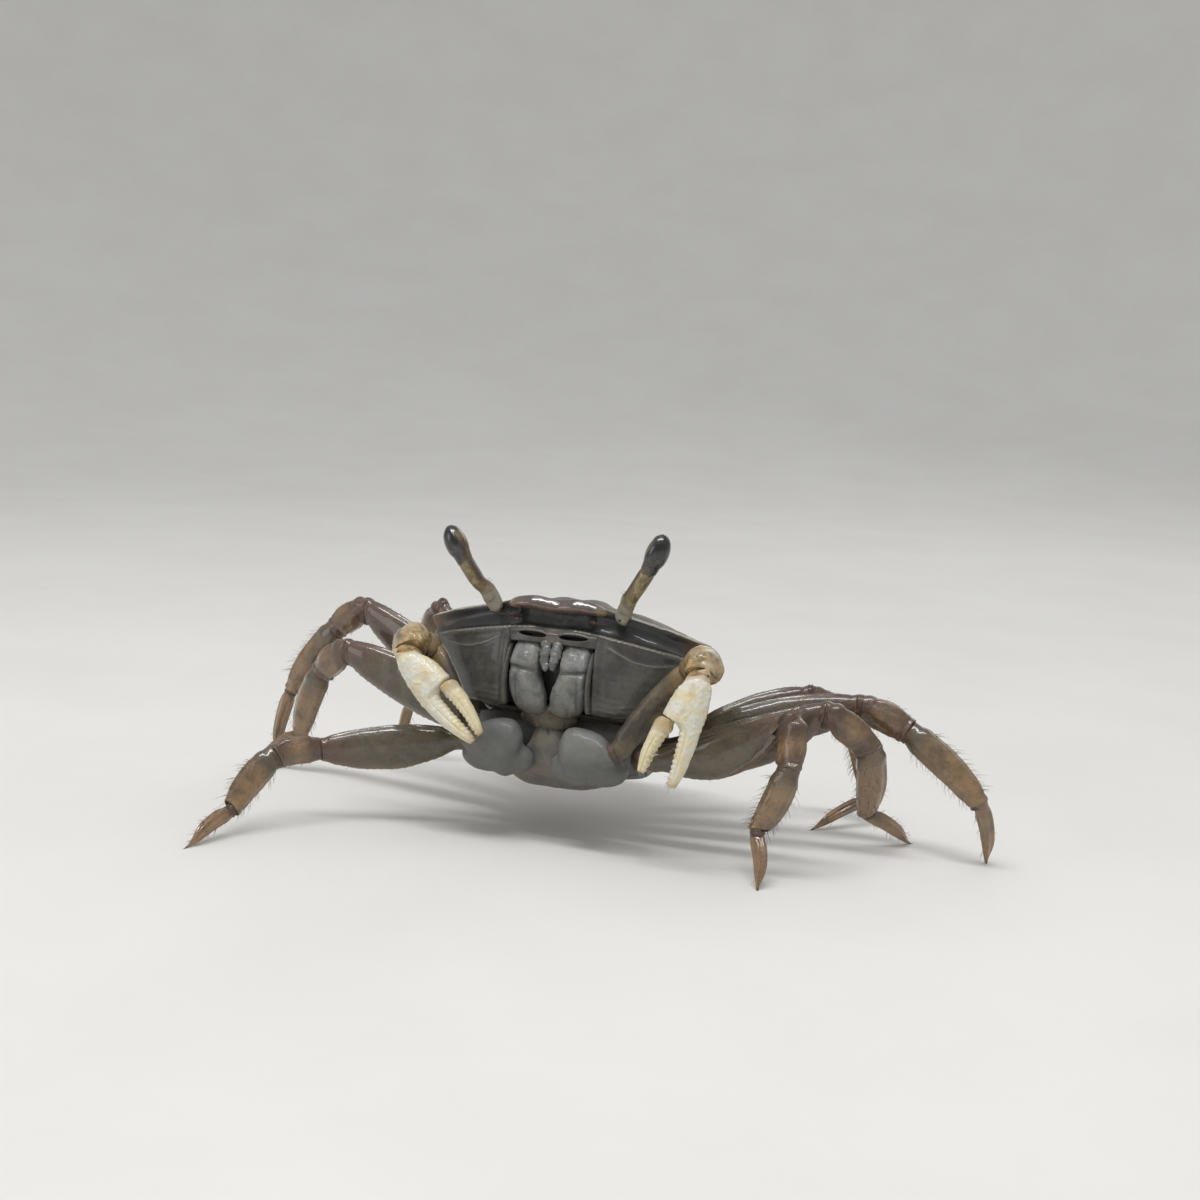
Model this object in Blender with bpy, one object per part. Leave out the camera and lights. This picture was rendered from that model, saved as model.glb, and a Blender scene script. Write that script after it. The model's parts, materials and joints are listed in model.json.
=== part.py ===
"""A fiddler crab, life size, standing still with its eyes up.

The crab faces -Y, its left side is +X, and the floor is z = 0. Sizes in the
named values below are millimetres in the crab's own body frame, whose origin
is the middle of the shell at the height of its side margins. The body frame
is pitched nose up. Legs are placed by headings and lifts seen from the floor.
"""

import math

import bmesh
import bpy
from mathutils import Matrix, Vector

MM = 0.001

# The stance of the body
BODY_HEIGHT = 16.5
BODY_PITCH = 10.0
GAP = 0.3

# The shell, as half outlines from the middle of the front round to the rear
MOUTH_COLUMNS = (0.0, 1.1, 2.2, 3.35, 3.5)
FRONT_STEPS = 9
SIDE_STEPS = 13
MARGIN_FRONT = ((0.0, -8.15, 1.55), (1.9, -8.45, 1.75), (3.9, -8.15, 1.5), (4.8, -7.0, 1.3),
                (6.5, -6.45, 0.95), (9.2, -5.95, 0.35), (12.0, -5.0, -0.5))
MARGIN_SIDE = ((12.0, -5.0, -0.5), (11.7, -2.4, -0.7), (10.7, 1.4, -0.9), (9.0, 5.0, -1.2),
               (6.2, 7.5, -1.4), (3.0, 8.3, -1.5), (0.0, 8.5, -1.5))
RIDGE_FRONT = ((0.0, -8.1), (3.8, -8.05), (5.6, -7.75), (8.2, -6.95), (10.0, -6.1), (11.3, -4.9))
RIDGE_SIDE = ((11.3, -4.9), (11.2, -2.4), (10.3, 1.3), (8.7, 4.8), (6.0, 7.2), (2.9, 8.0), (0.0, 8.2))
FOOT_FRONT = ((0.0, -7.7), (3.8, -7.7), (5.6, -7.3), (7.4, -6.4), (8.5, -5.0))
FOOT_SIDE = ((8.5, -5.0), (8.6, -2.4), (8.2, 0.8), (7.3, 3.6), (5.4, 5.8), (2.7, 6.7), (0.0, 7.0))
FOOT_Z = -7.0
# Wall levels: how far down, how far from margin to ridge to foot, how deep the orbit is there
WALL_LEVELS = ((0.05, 0.1, 0.05), (0.09, 0.5, 0.75), (0.22, 0.95, 0.7), (0.26, 1.0, 0.0),
               (0.31, 1.05, 0.1), (0.34, 1.1, 0.12), (0.5, 1.38, 0.0), (0.68, 1.65, 0.0),
               (0.86, 1.86, 0.0), (1.0, 2.0, 0.0))
MOUTH_TOP_LEVEL = 5
MOUTH_DEPTH = 1.35
# The face swells forwards round the mouth, most of all half way down
FACE_SWELL = 1.0
FACE_SWELL_WIDTH = 4.8
FACE_SWELL_TOP = 0.3
# How strongly the walls' hollows lean sideways instead of straight back
WALL_LEAN = 0.45
DOME_CENTRE = (0.0, 0.4)
DOME_TOP = 2.1
DOME_LEVELS = (0.03, 0.09, 0.18, 0.3, 0.44, 0.58, 0.72, 0.87)
DOME_FALL_SIDE = 0.012
DOME_FALL_LONG = 0.035
DOME_HIGHEST_Y = -1.5
DOME_ROUNDNESS = 0.8

# The H-shaped furrow on the back: its depth, where it lies, and the half widths of its grooves
FURROW_DEPTH = 0.28
FURROW_X = 3.3
FURROW_HALF_WIDTH = 0.55
FURROW_Y = 0.5
FURROW_HALF_LENGTH = 3.2
CROSS_Y = 1.0
CROSS_HALF_WIDTH = 0.6

# The breast plate, a side profile that shrinks towards the two hip faces
STERNUM_PROFILE = ((-5.2, -7.35), (-5.6, -8.6), (-5.8, -10.2), (-5.2, -11.5), (-3.2, -12.2),
                   (0.6, -12.1), (4.0, -11.3), (6.2, -9.7), (6.5, -8.2), (6.2, -7.35))
STERNUM_PROFILE_STEPS = 60
STERNUM_RING_STEPS = 30
STERNUM_CENTRE = (-0.3, -9.9)
STERNUM_HALF_WIDTH = 6.9
STERNUM_STATIONS = (0.0, 2.0, 4.0, 5.4, 6.3, STERNUM_HALF_WIDTH)
STERNUM_SHRINK = ((0.0, 1.0), (2.6, 0.995), (4.6, 0.965), (6.0, 0.9), (6.9, 0.8))

# The folded tail, from its broad rear segments to the round telson in front
PLEON_THICKNESS = 0.9
PLEON_WIDTHS = ((0.0, 3.4), (0.12, 4.4), (0.3, 4.9), (0.5, 4.6), (0.68, 3.7), (0.8, 2.4),
                (0.88, 1.5), (0.96, 1.25), (1.0, 0.7))
PLEON_START = 0.86
PLEON_END = 0.1
PLEON_ACROSS = (-1.0, -0.9, -0.6, -0.2, 0.2, 0.6, 0.9, 1.0)
PLEON_FLAT = 0.6
PLEON_EDGE = 0.45
PLEON_SEGMENTS = 6
PLEON_STEPS = 28
PLEON_GROOVE = 0.22

# The outer mouth plates
PLATE_TOP = -1.6
PLATE_BOTTOM = -7.3
PLATE_BACK = -6.9
PLATE_FRONT = -7.95
# Share of its height, inner edge and outer edge
PLATE_HALVES = ((0.0, 1.0, 2.7), (0.1, 0.8, 3.05), (0.36, 0.9, 3.15), (0.42, 0.85, 3.05),
                (0.6, 0.5, 3.1), (0.75, 0.2, 3.0), (0.93, 0.18, 2.6), (1.0, 0.4, 2.0))
PLATE_STEPS = 18
PLATE_CREASE = 0.39
PLATE_CREASE_DEPTH = 0.3
PLATE_CREASE_WIDTH = 0.035
PLATE_END_START = 0.8
PLATE_END_DEPTH = 0.45
# A plate's section: share of its width, and how far it lies behind the plate's front
PLATE_SECTION = ((0.0, 0.45), (0.14, 0.12), (0.4, -0.1), (0.62, -0.06), (0.7, 0.1), (0.86, 0.08), (1.0, 0.5))

# The eyes: each stalk leaves its socket forwards, bends up and leans outwards
STALK_SOCKET = ((4.9, -7.6, 0.2), (5.05, -8.0, 0.6), (5.45, -8.4, 1.5))
STALK_REACH = {"left": ((6.35, -8.65, 2.9), (7.45, -9.0, 4.7)),
               "right": ((6.5, -8.65, 2.5), (7.75, -9.0, 4.15))}
STALK_RADII = (0.55, 0.72, 0.74, 0.54, 0.64)
EYE_TIPS = {"left": (8.6, -9.6, 7.5), "right": (9.2, -9.6, 6.7)}
EYE_RADII = ((0.0, 0.66), (0.12, 0.8), (0.35, 0.95), (0.6, 0.93), (0.8, 0.74), (0.93, 0.45), (1.0, 0.16))

EYE_SIDES = 14
STALK_STEPS = 12
STRAIGHT_AHEAD = (0.0, -1.0, 0.0)
# The direction that round rings are squared to, which no tube runs along
RING_UP = (0.0, 0.35, 1.0)

ANTENNA_ROUTE = ((2.9, -7.75, 0.35), (3.2, -8.4, 0.3), (4.0, -9.0, 0.2), (5.0, -9.4, 0.35))
ANTENNA_RADII = (0.34, 0.32, 0.29, 0.25)
ANTENNA_SIDES = 8
ANTENNA_STEPS = 6

# The walking legs: hip places on the breast plate and the lengths of the four pieces
HIP_Y = {1: -4.4, 2: -1.65, 3: 1.1, 4: 3.85}
HIP_Z = -10.0
LEG_LENGTHS = {1: (12.6, 3.8, 5.4, 4.6), 2: (14.8, 4.6, 6.8, 6.0),
               3: (17.0, 4.5, 7.8, 6.2), 4: (13.2, 4.4, 7.0, 5.8)}
LEG_PIECES = ("merus", "carpus", "propodus", "dactyl")
# Headings are degrees forward of straight out, lifts are degrees above level
LEG_POSES = {
    ("right", 1): ((28, 50, 62, 75), (-6, -4, -46)),
    ("left", 1): ((2, 75, 165, 70), (21, -62, -67)),
    ("right", 2): ((-5, -25, -25, -12), (22, -37, -65)),
    ("left", 2): ((-6, -15, -95, -50), (20, -38, -62)),
    ("right", 3): ((-12, -14, -6, -10), (32, -33, -54)),
    ("left", 3): ((-10, 0, 10, -75), (19, -22, -38)),
    ("right", 4): ((-24, -38, -34, -30), (46, -44, -73)),
    ("left", 4): ((-26, -24, -15, 140), (24, -30, -74)),
}
# Sections along each piece: share of its length, height and thickness
LEG_SECTIONS = {
    "merus": ((0.0, 2.3, 2.2), (0.07, 2.2, 2.1), (0.13, 1.8, 1.7), (0.2, 2.7, 1.7), (0.34, 3.6, 1.8),
              (0.52, 4.0, 1.8), (0.7, 3.7, 1.75), (0.86, 3.0, 1.7), (0.95, 2.4, 1.6), (1.0, 1.8, 1.4)),
    "carpus": ((0.0, 1.6, 1.35), (0.16, 2.3, 1.6), (0.45, 2.7, 1.75), (0.75, 2.7, 1.7), (0.93, 2.3, 1.5),
               (1.0, 1.8, 1.3)),
    "propodus": ((0.0, 1.7, 1.3), (0.12, 2.3, 1.5), (0.4, 2.5, 1.5), (0.72, 2.2, 1.35), (0.93, 1.7, 1.15),
                 (1.0, 1.3, 1.0)),
    "dactyl": ((0.0, 1.15, 0.95), (0.1, 1.4, 1.1), (0.4, 1.25, 1.0), (0.7, 1.0, 0.85), (0.9, 0.8, 0.75),
               (1.0, 0.65, 0.65)),
}
LEG_BOW = {"merus": 0.3, "carpus": 0.25, "propodus": 0.3, "dactyl": 0.35}
LOW_MERUS_BOW = {("left", 1): -1.3, ("left", 2): -1.0, ("right", 1): -0.4}
LEG_SIDES = 12
STEEPEST_DROP = 0.97
LEAST_SPACING = 0.12
LEG_SIZE = {1: 0.94, 2: 1.04, 3: 1.04, 4: 0.88}

# The two small claws, one set of places for each side, given for x outwards
CLAW_ROUTES = {
    "right": {"ischium": ((1.65, -8.0, -10.1), (6.2, -8.4, -9.6)),
              "merus_end": (10.5, -7.9, -2.7), "carpus_end": (11.4, -10.4, -3.8),
              "tip": (4.4, -10.7, -9.6)},
    "left": {"ischium": ((1.65, -8.0, -10.1), (6.2, -8.4, -9.6)),
             "merus_end": (11.6, -7.9, -2.2), "carpus_end": (12.8, -10.4, -2.9),
             "tip": (10.2, -10.6, -10.9)},
}
ISCHIUM_SECTIONS = ((0.0, 2.4, 1.6), (0.07, 3.7, 2.3), (0.22, 4.5, 2.7), (0.45, 4.2, 2.8), (0.75, 3.1, 2.5),
                    (1.0, 1.9, 1.8))
CLAW_MERUS_SECTIONS = ((0.0, 1.6, 1.5), (0.2, 2.1, 1.5), (0.55, 2.4, 1.6), (0.85, 2.2, 1.6), (1.0, 1.7, 1.4))
CLAW_CARPUS_SECTIONS = ((0.0, 1.8, 1.6), (0.15, 2.8, 2.7), (0.45, 3.4, 3.4), (0.75, 3.2, 3.2),
                        (0.92, 2.3, 2.3), (1.0, 1.7, 1.6))
CLAW_BOWS = (0.0, 0.2, 0.7, 0.0)
CLAW_GAPE = {"right": 0.0, "left": 0.9}
# The hand and its fixed finger: share of length, width, thickness, shift to the outer edge
HAND_SECTIONS = ((0.0, 1.5, 1.3, 0.0), (0.07, 2.3, 1.8, 0.0), (0.22, 3.0, 2.1, 0.0), (0.4, 3.3, 2.1, 0.0),
                 (0.44, 3.3, 2.0, 0.0), (0.46, 1.5, 1.5, 0.9), (0.7, 1.25, 1.25, 0.85), (0.9, 1.0, 1.0, 0.55),
                 (1.0, 0.6, 0.6, 0.42))
FINGER_SECTIONS = ((0.495, 1.25, 1.4, -0.95), (0.56, 1.35, 1.4, -1.1), (0.75, 1.15, 1.15, -1.0),
                   (0.9, 0.95, 0.95, -0.65), (1.0, 0.6, 0.6, -0.42))
CLAW_SIDES = 12

COLOURS = {
    "shell": ((0.045, 0.045, 0.04), 0.3),
    "breast": ((0.2, 0.22, 0.23), 0.35),
    "tail": ((0.19, 0.16, 0.14), 0.4),
    "mouth": ((0.22, 0.24, 0.26), 0.35),
    "stalk": ((0.3, 0.22, 0.12), 0.35),
    "cornea": ((0.02, 0.02, 0.022), 0.08),
    "feeler": ((0.2, 0.13, 0.08), 0.45),
    "leg": ((0.16, 0.1, 0.055), 0.3),
    "claw_arm": ((0.3, 0.2, 0.1), 0.3),
    "hand": ((0.75, 0.7, 0.6), 0.35),
}


def clear_scene():
    for item in list(bpy.data.objects):
        bpy.data.objects.remove(item, do_unlink=True)


def make_material(name):
    colour, roughness = COLOURS[name]
    material = bpy.data.materials.new(name)
    material.use_nodes = True
    shader = material.node_tree.nodes["Principled BSDF"]
    shader.inputs["Base Color"].default_value = (*colour, 1.0)
    shader.inputs["Roughness"].default_value = roughness
    shader.inputs["Metallic"].default_value = 0.0
    return material


def smooth_curve(points, steps):
    """Read steps + 1 points, evenly by parameter, from a smooth curve through points."""
    knots = [Vector(p) for p in points]
    padded = [2 * knots[0] - knots[1], *knots, 2 * knots[-1] - knots[-2]]
    spans = len(knots) - 1
    result = []
    for i in range(steps + 1):
        place = min(i / steps * spans, spans - 1e-6)
        k = int(place)
        t = place - k
        a, b, c, d = padded[k:k + 4]
        result.append(0.5 * (2 * b + (c - a) * t + (2 * a - 5 * b + 4 * c - d) * t ** 2
                             + (3 * b - a - 3 * c + d) * t ** 3))
    return result


def table_value(table, place):
    """Read a value between the rows of a short table, in a straight line from row to row."""
    for (p0, v0), (p1, v1) in zip(table, table[1:]):
        if place <= p1:
            return v0 + (v1 - v0) * (place - p0) / (p1 - p0)
    return table[-1][1]


def curve_at_x(points, x):
    """The point of a smooth front outline that stands at x."""
    fine = smooth_curve(points, 90)
    for a, b in zip(fine, fine[1:]):
        if b.x >= x:
            return a.lerp(b, (x - a.x) / max(b.x - a.x, 1e-9))
    return fine[-1]


def loft(name, rings, material, parent=None, scale=MM):
    """One closed object skinned over rings of equal count, with both ends capped."""
    mesh = bpy.data.meshes.new(name)
    bm = bmesh.new()
    rows = [[bm.verts.new(Vector(p) * scale) for p in ring] for ring in rings]
    for low, high in zip(rows, rows[1:]):
        count = len(low)
        for i in range(count):
            j = (i + 1) % count
            bm.faces.new((low[i], low[j], high[j], high[i]))
    bm.faces.new(rows[0])
    bm.faces.new(rows[-1])
    bmesh.ops.recalc_face_normals(bm, faces=bm.faces)
    bmesh.ops.triangulate(bm, faces=bm.faces, quad_method="SHORT_EDGE")
    bm.to_mesh(mesh)
    bm.free()
    mesh.shade_smooth()
    mesh.set_sharp_from_angle(angle=math.radians(50))
    mesh.materials.append(material)
    item = bpy.data.objects.new(name, mesh)
    crab.objects.link(item)
    item.parent = parent
    return item


def mirrored(points, side):
    sign = 1 if side == "left" else -1
    return [Vector((sign * p[0], p[1], p[2])) for p in points]


def full_ring(half):
    """Close a half outline, from the front middle to the rear middle, with its mirror image."""
    return half + [Vector((-p.x, p.y, p.z)) for p in reversed(half[1:-1])]


def front_x(step, corner_x):
    """Columns of the front face: fixed across the mouth, then spread evenly to the corner."""
    if step < len(MOUTH_COLUMNS):
        return MOUTH_COLUMNS[step]
    share = (step - len(MOUTH_COLUMNS) + 1) / FRONT_STEPS
    return MOUTH_COLUMNS[-1] + share * (corner_x - MOUTH_COLUMNS[-1])


def half_outline(front, side):
    count = len(MOUTH_COLUMNS) + FRONT_STEPS
    points = [curve_at_x(front, front_x(i, front[-1][0])) for i in range(count - 1)]
    return points + smooth_curve(side, SIDE_STEPS)


def orbit_share(column):
    """How much of the orbit's hollow a column has: full across the front, none past the corner."""
    corner = len(MOUTH_COLUMNS) + FRONT_STEPS - 1
    return max(0.0, min(1.0, (corner - column) / 2))


def inward(point, distance):
    """Push a wall point towards the body's long axis."""
    to_axis = Vector((-point.x * WALL_LEAN, -point.y, 0.0)).normalized()
    return point + to_axis * distance


def face_swell(x, down):
    """How far the face stands forwards at x, a share of the way down the wall."""
    share = max(0.0, (down - FACE_SWELL_TOP) / (1 - FACE_SWELL_TOP))
    return FACE_SWELL * math.sin(math.pi * share ** 0.7) * math.exp(-(x / FACE_SWELL_WIDTH) ** 2)


def wall_ring(level, down, mix, orbit, margin, ridge, foot):
    half = []
    for i, (m, r, f) in enumerate(zip(margin, ridge, foot)):
        flat_r = Vector((r.x, r.y, 0.0))
        flat = Vector((m.x, m.y, 0.0)).lerp(flat_r, mix) if mix <= 1 else flat_r.lerp(f, mix - 1)
        if level >= MOUTH_TOP_LEVEL and i < len(MOUTH_COLUMNS) - 1:
            point = flat + Vector((0.0, MOUTH_DEPTH, 0.0))
        else:
            point = inward(flat, orbit * orbit_share(i))
        if i >= len(MOUTH_COLUMNS) - 1 and flat.y < 0:
            point.y -= face_swell(flat.x, down)
        point.z = m.z + (FOOT_Z - m.z) * down
        if level == len(WALL_LEVELS) - 1:
            point.z = FOOT_Z
        half.append(point)
    return full_ring(half)


def furrow(x, y):
    """The H-shaped furrow on the back: two long grooves joined by a cross groove."""
    long_groove = math.exp(-((abs(x) - FURROW_X) / FURROW_HALF_WIDTH) ** 2)
    long_groove *= math.exp(-((y - FURROW_Y) / FURROW_HALF_LENGTH) ** 4)
    cross_groove = math.exp(-((y - CROSS_Y) / CROSS_HALF_WIDTH) ** 2) * math.exp(-(x / FURROW_X) ** 4)
    return FURROW_DEPTH * max(long_groove, cross_groove)


def dome_ring(share, margin):
    half = []
    rise = math.sin(share * math.pi / 2) ** DOME_ROUNDNESS
    for m in margin:
        point = m.lerp(Vector((*DOME_CENTRE, 0.0)), share)
        top = DOME_TOP - DOME_FALL_SIDE * point.x ** 2 - DOME_FALL_LONG * (point.y - DOME_HIGHEST_Y) ** 2
        point.z = m.z + (top - m.z) * rise - furrow(point.x, point.y)
        half.append(point)
    return full_ring(half)


def build_carapace(frame):
    margin = half_outline(MARGIN_FRONT, MARGIN_SIDE)
    flat = [half_outline([(*p, 0.0) for p in front], [(*p, 0.0) for p in side])
            for front, side in ((RIDGE_FRONT, RIDGE_SIDE), (FOOT_FRONT, FOOT_SIDE))]
    walls = [wall_ring(i, *row, margin, *flat) for i, row in enumerate(WALL_LEVELS)]
    dome = [dome_ring(share, margin) for share in DOME_LEVELS]
    rings = list(reversed(walls)) + [full_ring(margin)] + dome
    loft("carapace", rings, materials["shell"], frame)


def sternum_point(place, x, lift=0.0):
    """A point of the breast plate's skin: a place on its profile, an x, and a lift off the skin."""
    fine = smooth_curve([(0.0, *p) for p in STERNUM_PROFILE], STERNUM_PROFILE_STEPS)
    step = place * STERNUM_PROFILE_STEPS
    index = min(int(step), STERNUM_PROFILE_STEPS - 1)
    here = fine[index].lerp(fine[index + 1], step - index)
    along = fine[index + 1] - fine[index]
    outward = Vector((0.0, along.z, -along.y)).normalized()
    if outward.dot(here - Vector((0.0, *STERNUM_CENTRE))) < 0:
        outward = -outward
    shrink = table_value(STERNUM_SHRINK, abs(x))
    centre = Vector((0.0, *STERNUM_CENTRE))
    point = centre + (here - centre) * shrink + outward * lift
    point.x = x
    return point


def build_sternum(frame):
    stations = [-x for x in reversed(STERNUM_STATIONS[1:])] + list(STERNUM_STATIONS)
    steps = STERNUM_RING_STEPS
    rings = [[sternum_point(i / steps, x) for i in range(steps + 1)] for x in stations]
    loft("sternum", rings, materials["breast"], frame)


def build_pleon(frame):
    """A broad plate under the breast, creased between its segments, tapering to the telson."""
    rings = []
    for i in range(PLEON_STEPS + 1):
        share = i / PLEON_STEPS
        place = PLEON_START + (PLEON_END - PLEON_START) * share
        half_width = table_value(PLEON_WIDTHS, share)
        groove = PLEON_GROOVE * max(0.0, math.cos(share * PLEON_SEGMENTS * 2 * math.pi)) ** 4
        outer = []
        for k in PLEON_ACROSS:
            edge = PLEON_EDGE * max(0.0, abs(k) - PLEON_FLAT) / (1 - PLEON_FLAT)
            lift = GAP + PLEON_THICKNESS - groove - edge
            outer.append(sternum_point(place, k * half_width, lift))
        inner = [sternum_point(place, k * half_width, GAP) for k in reversed(PLEON_ACROSS)]
        rings.append(outer + inner)
    loft("pleon", rings, materials["tail"], frame)


def build_maxilliped(side, frame):
    """One outer mouth plate: a rounded slab, creased between its upper and lower pieces."""
    rings = []
    for i in range(PLATE_STEPS + 1):
        share = i / PLATE_STEPS
        inner = table_value([(row[0], row[1]) for row in PLATE_HALVES], share)
        outer = table_value([(row[0], row[2]) for row in PLATE_HALVES], share)
        z = PLATE_TOP + (PLATE_BOTTOM - PLATE_TOP) * share
        crease = PLATE_CREASE_DEPTH * math.exp(-((share - PLATE_CREASE) / PLATE_CREASE_WIDTH) ** 2)
        ends = PLATE_END_DEPTH * max(0.0, abs(share - 0.5) * 2 - PLATE_END_START) / (1 - PLATE_END_START)
        swell = face_swell(0.0, z / FOOT_Z)
        front = PLATE_FRONT + crease + ends - swell
        face = [(inner + k * (outer - inner), front + behind, z) for k, behind in PLATE_SECTION]
        ring = [(inner, PLATE_BACK, z), *face, (outer, PLATE_BACK, z)]
        rings.append(mirrored(ring, side))
    loft("maxilliped_" + side, rings, materials["mouth"], frame)


def round_ring(centre, axis, up_hint, radius, sides):
    across = axis.cross(Vector(up_hint)).normalized()
    up = across.cross(axis)
    turn = [2 * math.pi * k / sides for k in range(sides)]
    return [centre + (across * math.cos(a) + up * math.sin(a)) * radius for a in turn]


def tube_rings(route, radii, sides, steps, first_normal=None):
    """Round rings square to a smooth route, with the radius read along it."""
    centres = smooth_curve(route, steps)
    sizes = [(i / (len(radii) - 1), r) for i, r in enumerate(radii)]
    rings = []
    for i, centre in enumerate(centres):
        ahead = centres[min(i + 1, steps)] - centres[max(i - 1, 0)]
        axis = ahead.normalized()
        if i == 0 and first_normal is not None:
            axis = Vector(first_normal)
        rings.append(round_ring(centre, axis, RING_UP, table_value(sizes, i / steps), sides))
    return rings


def build_eye(side, frame):
    """A stalk that leaves its socket, and the tall cornea that stands on its end."""
    route = mirrored([*STALK_SOCKET, *STALK_REACH[side]], side)
    rings = tube_rings(route, STALK_RADII, EYE_SIDES, STALK_STEPS, STRAIGHT_AHEAD)
    loft("eyestalk_" + side, rings, materials["stalk"], frame)
    tip, = mirrored([EYE_TIPS[side]], side)
    axis = (tip - route[-1]).normalized()
    base = route[-1] + axis * GAP
    rings = [round_ring(base.lerp(tip, share), axis, STRAIGHT_AHEAD, radius, EYE_SIDES)
             for share, radius in EYE_RADII]
    loft("eye_" + side, rings, materials["cornea"], frame)


def build_antenna(side, frame):
    route = mirrored(ANTENNA_ROUTE, side)
    rings = tube_rings(route, ANTENNA_RADII, ANTENNA_SIDES, ANTENNA_STEPS, STRAIGHT_AHEAD)
    loft("antenna_" + side, rings, materials["feeler"], frame)


def onto_plane(point, along, plane_point, normal):
    """Slide a point along a direction until it lies on a plane."""
    return point + along * ((plane_point - point).dot(normal) / along.dot(normal))


def piece_rings(start, end, sections, up, start_cut, end_cut, bow, sides):
    """Rings of one limb piece; its end rings lie on the cut planes of its two joints."""
    along = (end - start).normalized()
    length = (end - start).length
    up = (up - along * up.dot(along)).normalized()
    across = along.cross(up)
    rings = []
    for row in sections:
        share, height, thickness = row[:3]
        shift = row[3] if len(row) > 3 else 0.0
        centre = start + along * length * share + up * (4 * bow * share * (1 - share) + shift)
        turn = [2 * math.pi * k / sides for k in range(sides)]
        tall = up * height / 2
        wide = across * thickness / 2
        rings.append([centre + tall * math.sin(a) + wide * math.cos(a) for a in turn])
    if start_cut:
        rings[0] = [onto_plane(p, along, *start_cut) for p in rings[0]]
        rings[1:-1] = [keep_ahead(ring, along, *start_cut) for ring in rings[1:-1]]
    if end_cut:
        rings[-1] = [onto_plane(p, along, *end_cut) for p in rings[-1]]
        rings[1:-1] = [keep_behind(ring, along, *end_cut) for ring in rings[1:-1]]
    return rings


def keep_ahead(ring, along, plane_point, normal):
    """Move the points of a ring that a slanted start plane would overtake to just ahead of it."""
    edge = plane_point + along * LEAST_SPACING
    return [onto_plane(p, along, edge, normal) if (p - edge).dot(normal) < 0 else p for p in ring]


def keep_behind(ring, along, plane_point, normal):
    edge = plane_point - along * LEAST_SPACING
    return [onto_plane(p, along, edge, normal) if (p - edge).dot(normal) > 0 else p for p in ring]


def joint_cuts(joint, before, after):
    """The two planes, a gap apart, that part the pieces on either side of a joint."""
    normal = (before + after).normalized()
    half = normal * GAP / 2
    return (joint - half, normal), (joint + half, normal)


def heading_direction(side, heading, lift):
    sign = 1 if side == "left" else -1
    h, v = math.radians(heading), math.radians(lift)
    return Vector((sign * math.cos(h) * math.cos(v), -math.sin(h) * math.cos(v), math.sin(v)))


def leg_joints(side, number):
    """Hip, knee, ankle, wrist and tip; the last piece drops just far enough to reach the floor."""
    hip = body_frame @ mirrored([(STERNUM_HALF_WIDTH + GAP, HIP_Y[number], HIP_Z)], side)[0]
    headings, lifts = LEG_POSES[side, number]
    lengths = LEG_LENGTHS[number]
    joints = [hip]
    for length, heading, lift in zip(lengths, headings, lifts):
        joints.append(joints[-1] + heading_direction(side, heading, lift) * length)
    drop = -math.degrees(math.asin(min(STEEPEST_DROP, joints[-1].z / lengths[3])))
    direction = heading_direction(side, headings[3], drop)
    joints.append(joints[-1] + direction * (joints[-1].z / -direction.z))
    return joints


def build_leg(side, number):
    joints = leg_joints(side, number)
    ways = [(b - a).normalized() for a, b in zip(joints, joints[1:])]
    hip_face = (joints[0], Vector((1.0 if side == "left" else -1.0, 0.0, 0.0)))
    floor_face = (Vector((0.0, 0.0, 0.0)), Vector((0.0, 0.0, -1.0)))
    cuts = [joint_cuts(joints[i + 1], ways[i], ways[i + 1]) for i in range(3)]
    starts = [hip_face] + [cut[1] for cut in cuts]
    ends = [cut[0] for cut in cuts] + [floor_face]
    size = LEG_SIZE[number]
    for i, piece in enumerate(LEG_PIECES):
        sections = [(share, h * size, t * size) for share, h, t in LEG_SECTIONS[piece]]
        outward = Vector((ways[0].x, ways[0].y, 0.0)).normalized()
        up = Vector((0.0, 0.0, 1.0)) + outward * max(0.0, -ways[i].z) * 2
        bow = LOW_MERUS_BOW.get((side, number), LEG_BOW[piece]) if piece == "merus" else LEG_BOW[piece]
        rings = piece_rings(joints[i], joints[i + 1], sections, up, starts[i], ends[i], bow, LEG_SIDES)
        loft(f"leg_{side}_{number}_{piece}", rings, materials["leg"], crab_empty)


def opened(sections, gape):
    """Spread a finger's sections sideways, from nothing at its root to the full gape at its tip."""
    root = FINGER_SECTIONS[0][0]
    return [(share, width, thickness, shift + gape * max(0.0, share - root) / (1 - root))
            for share, width, thickness, shift in sections]


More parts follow.
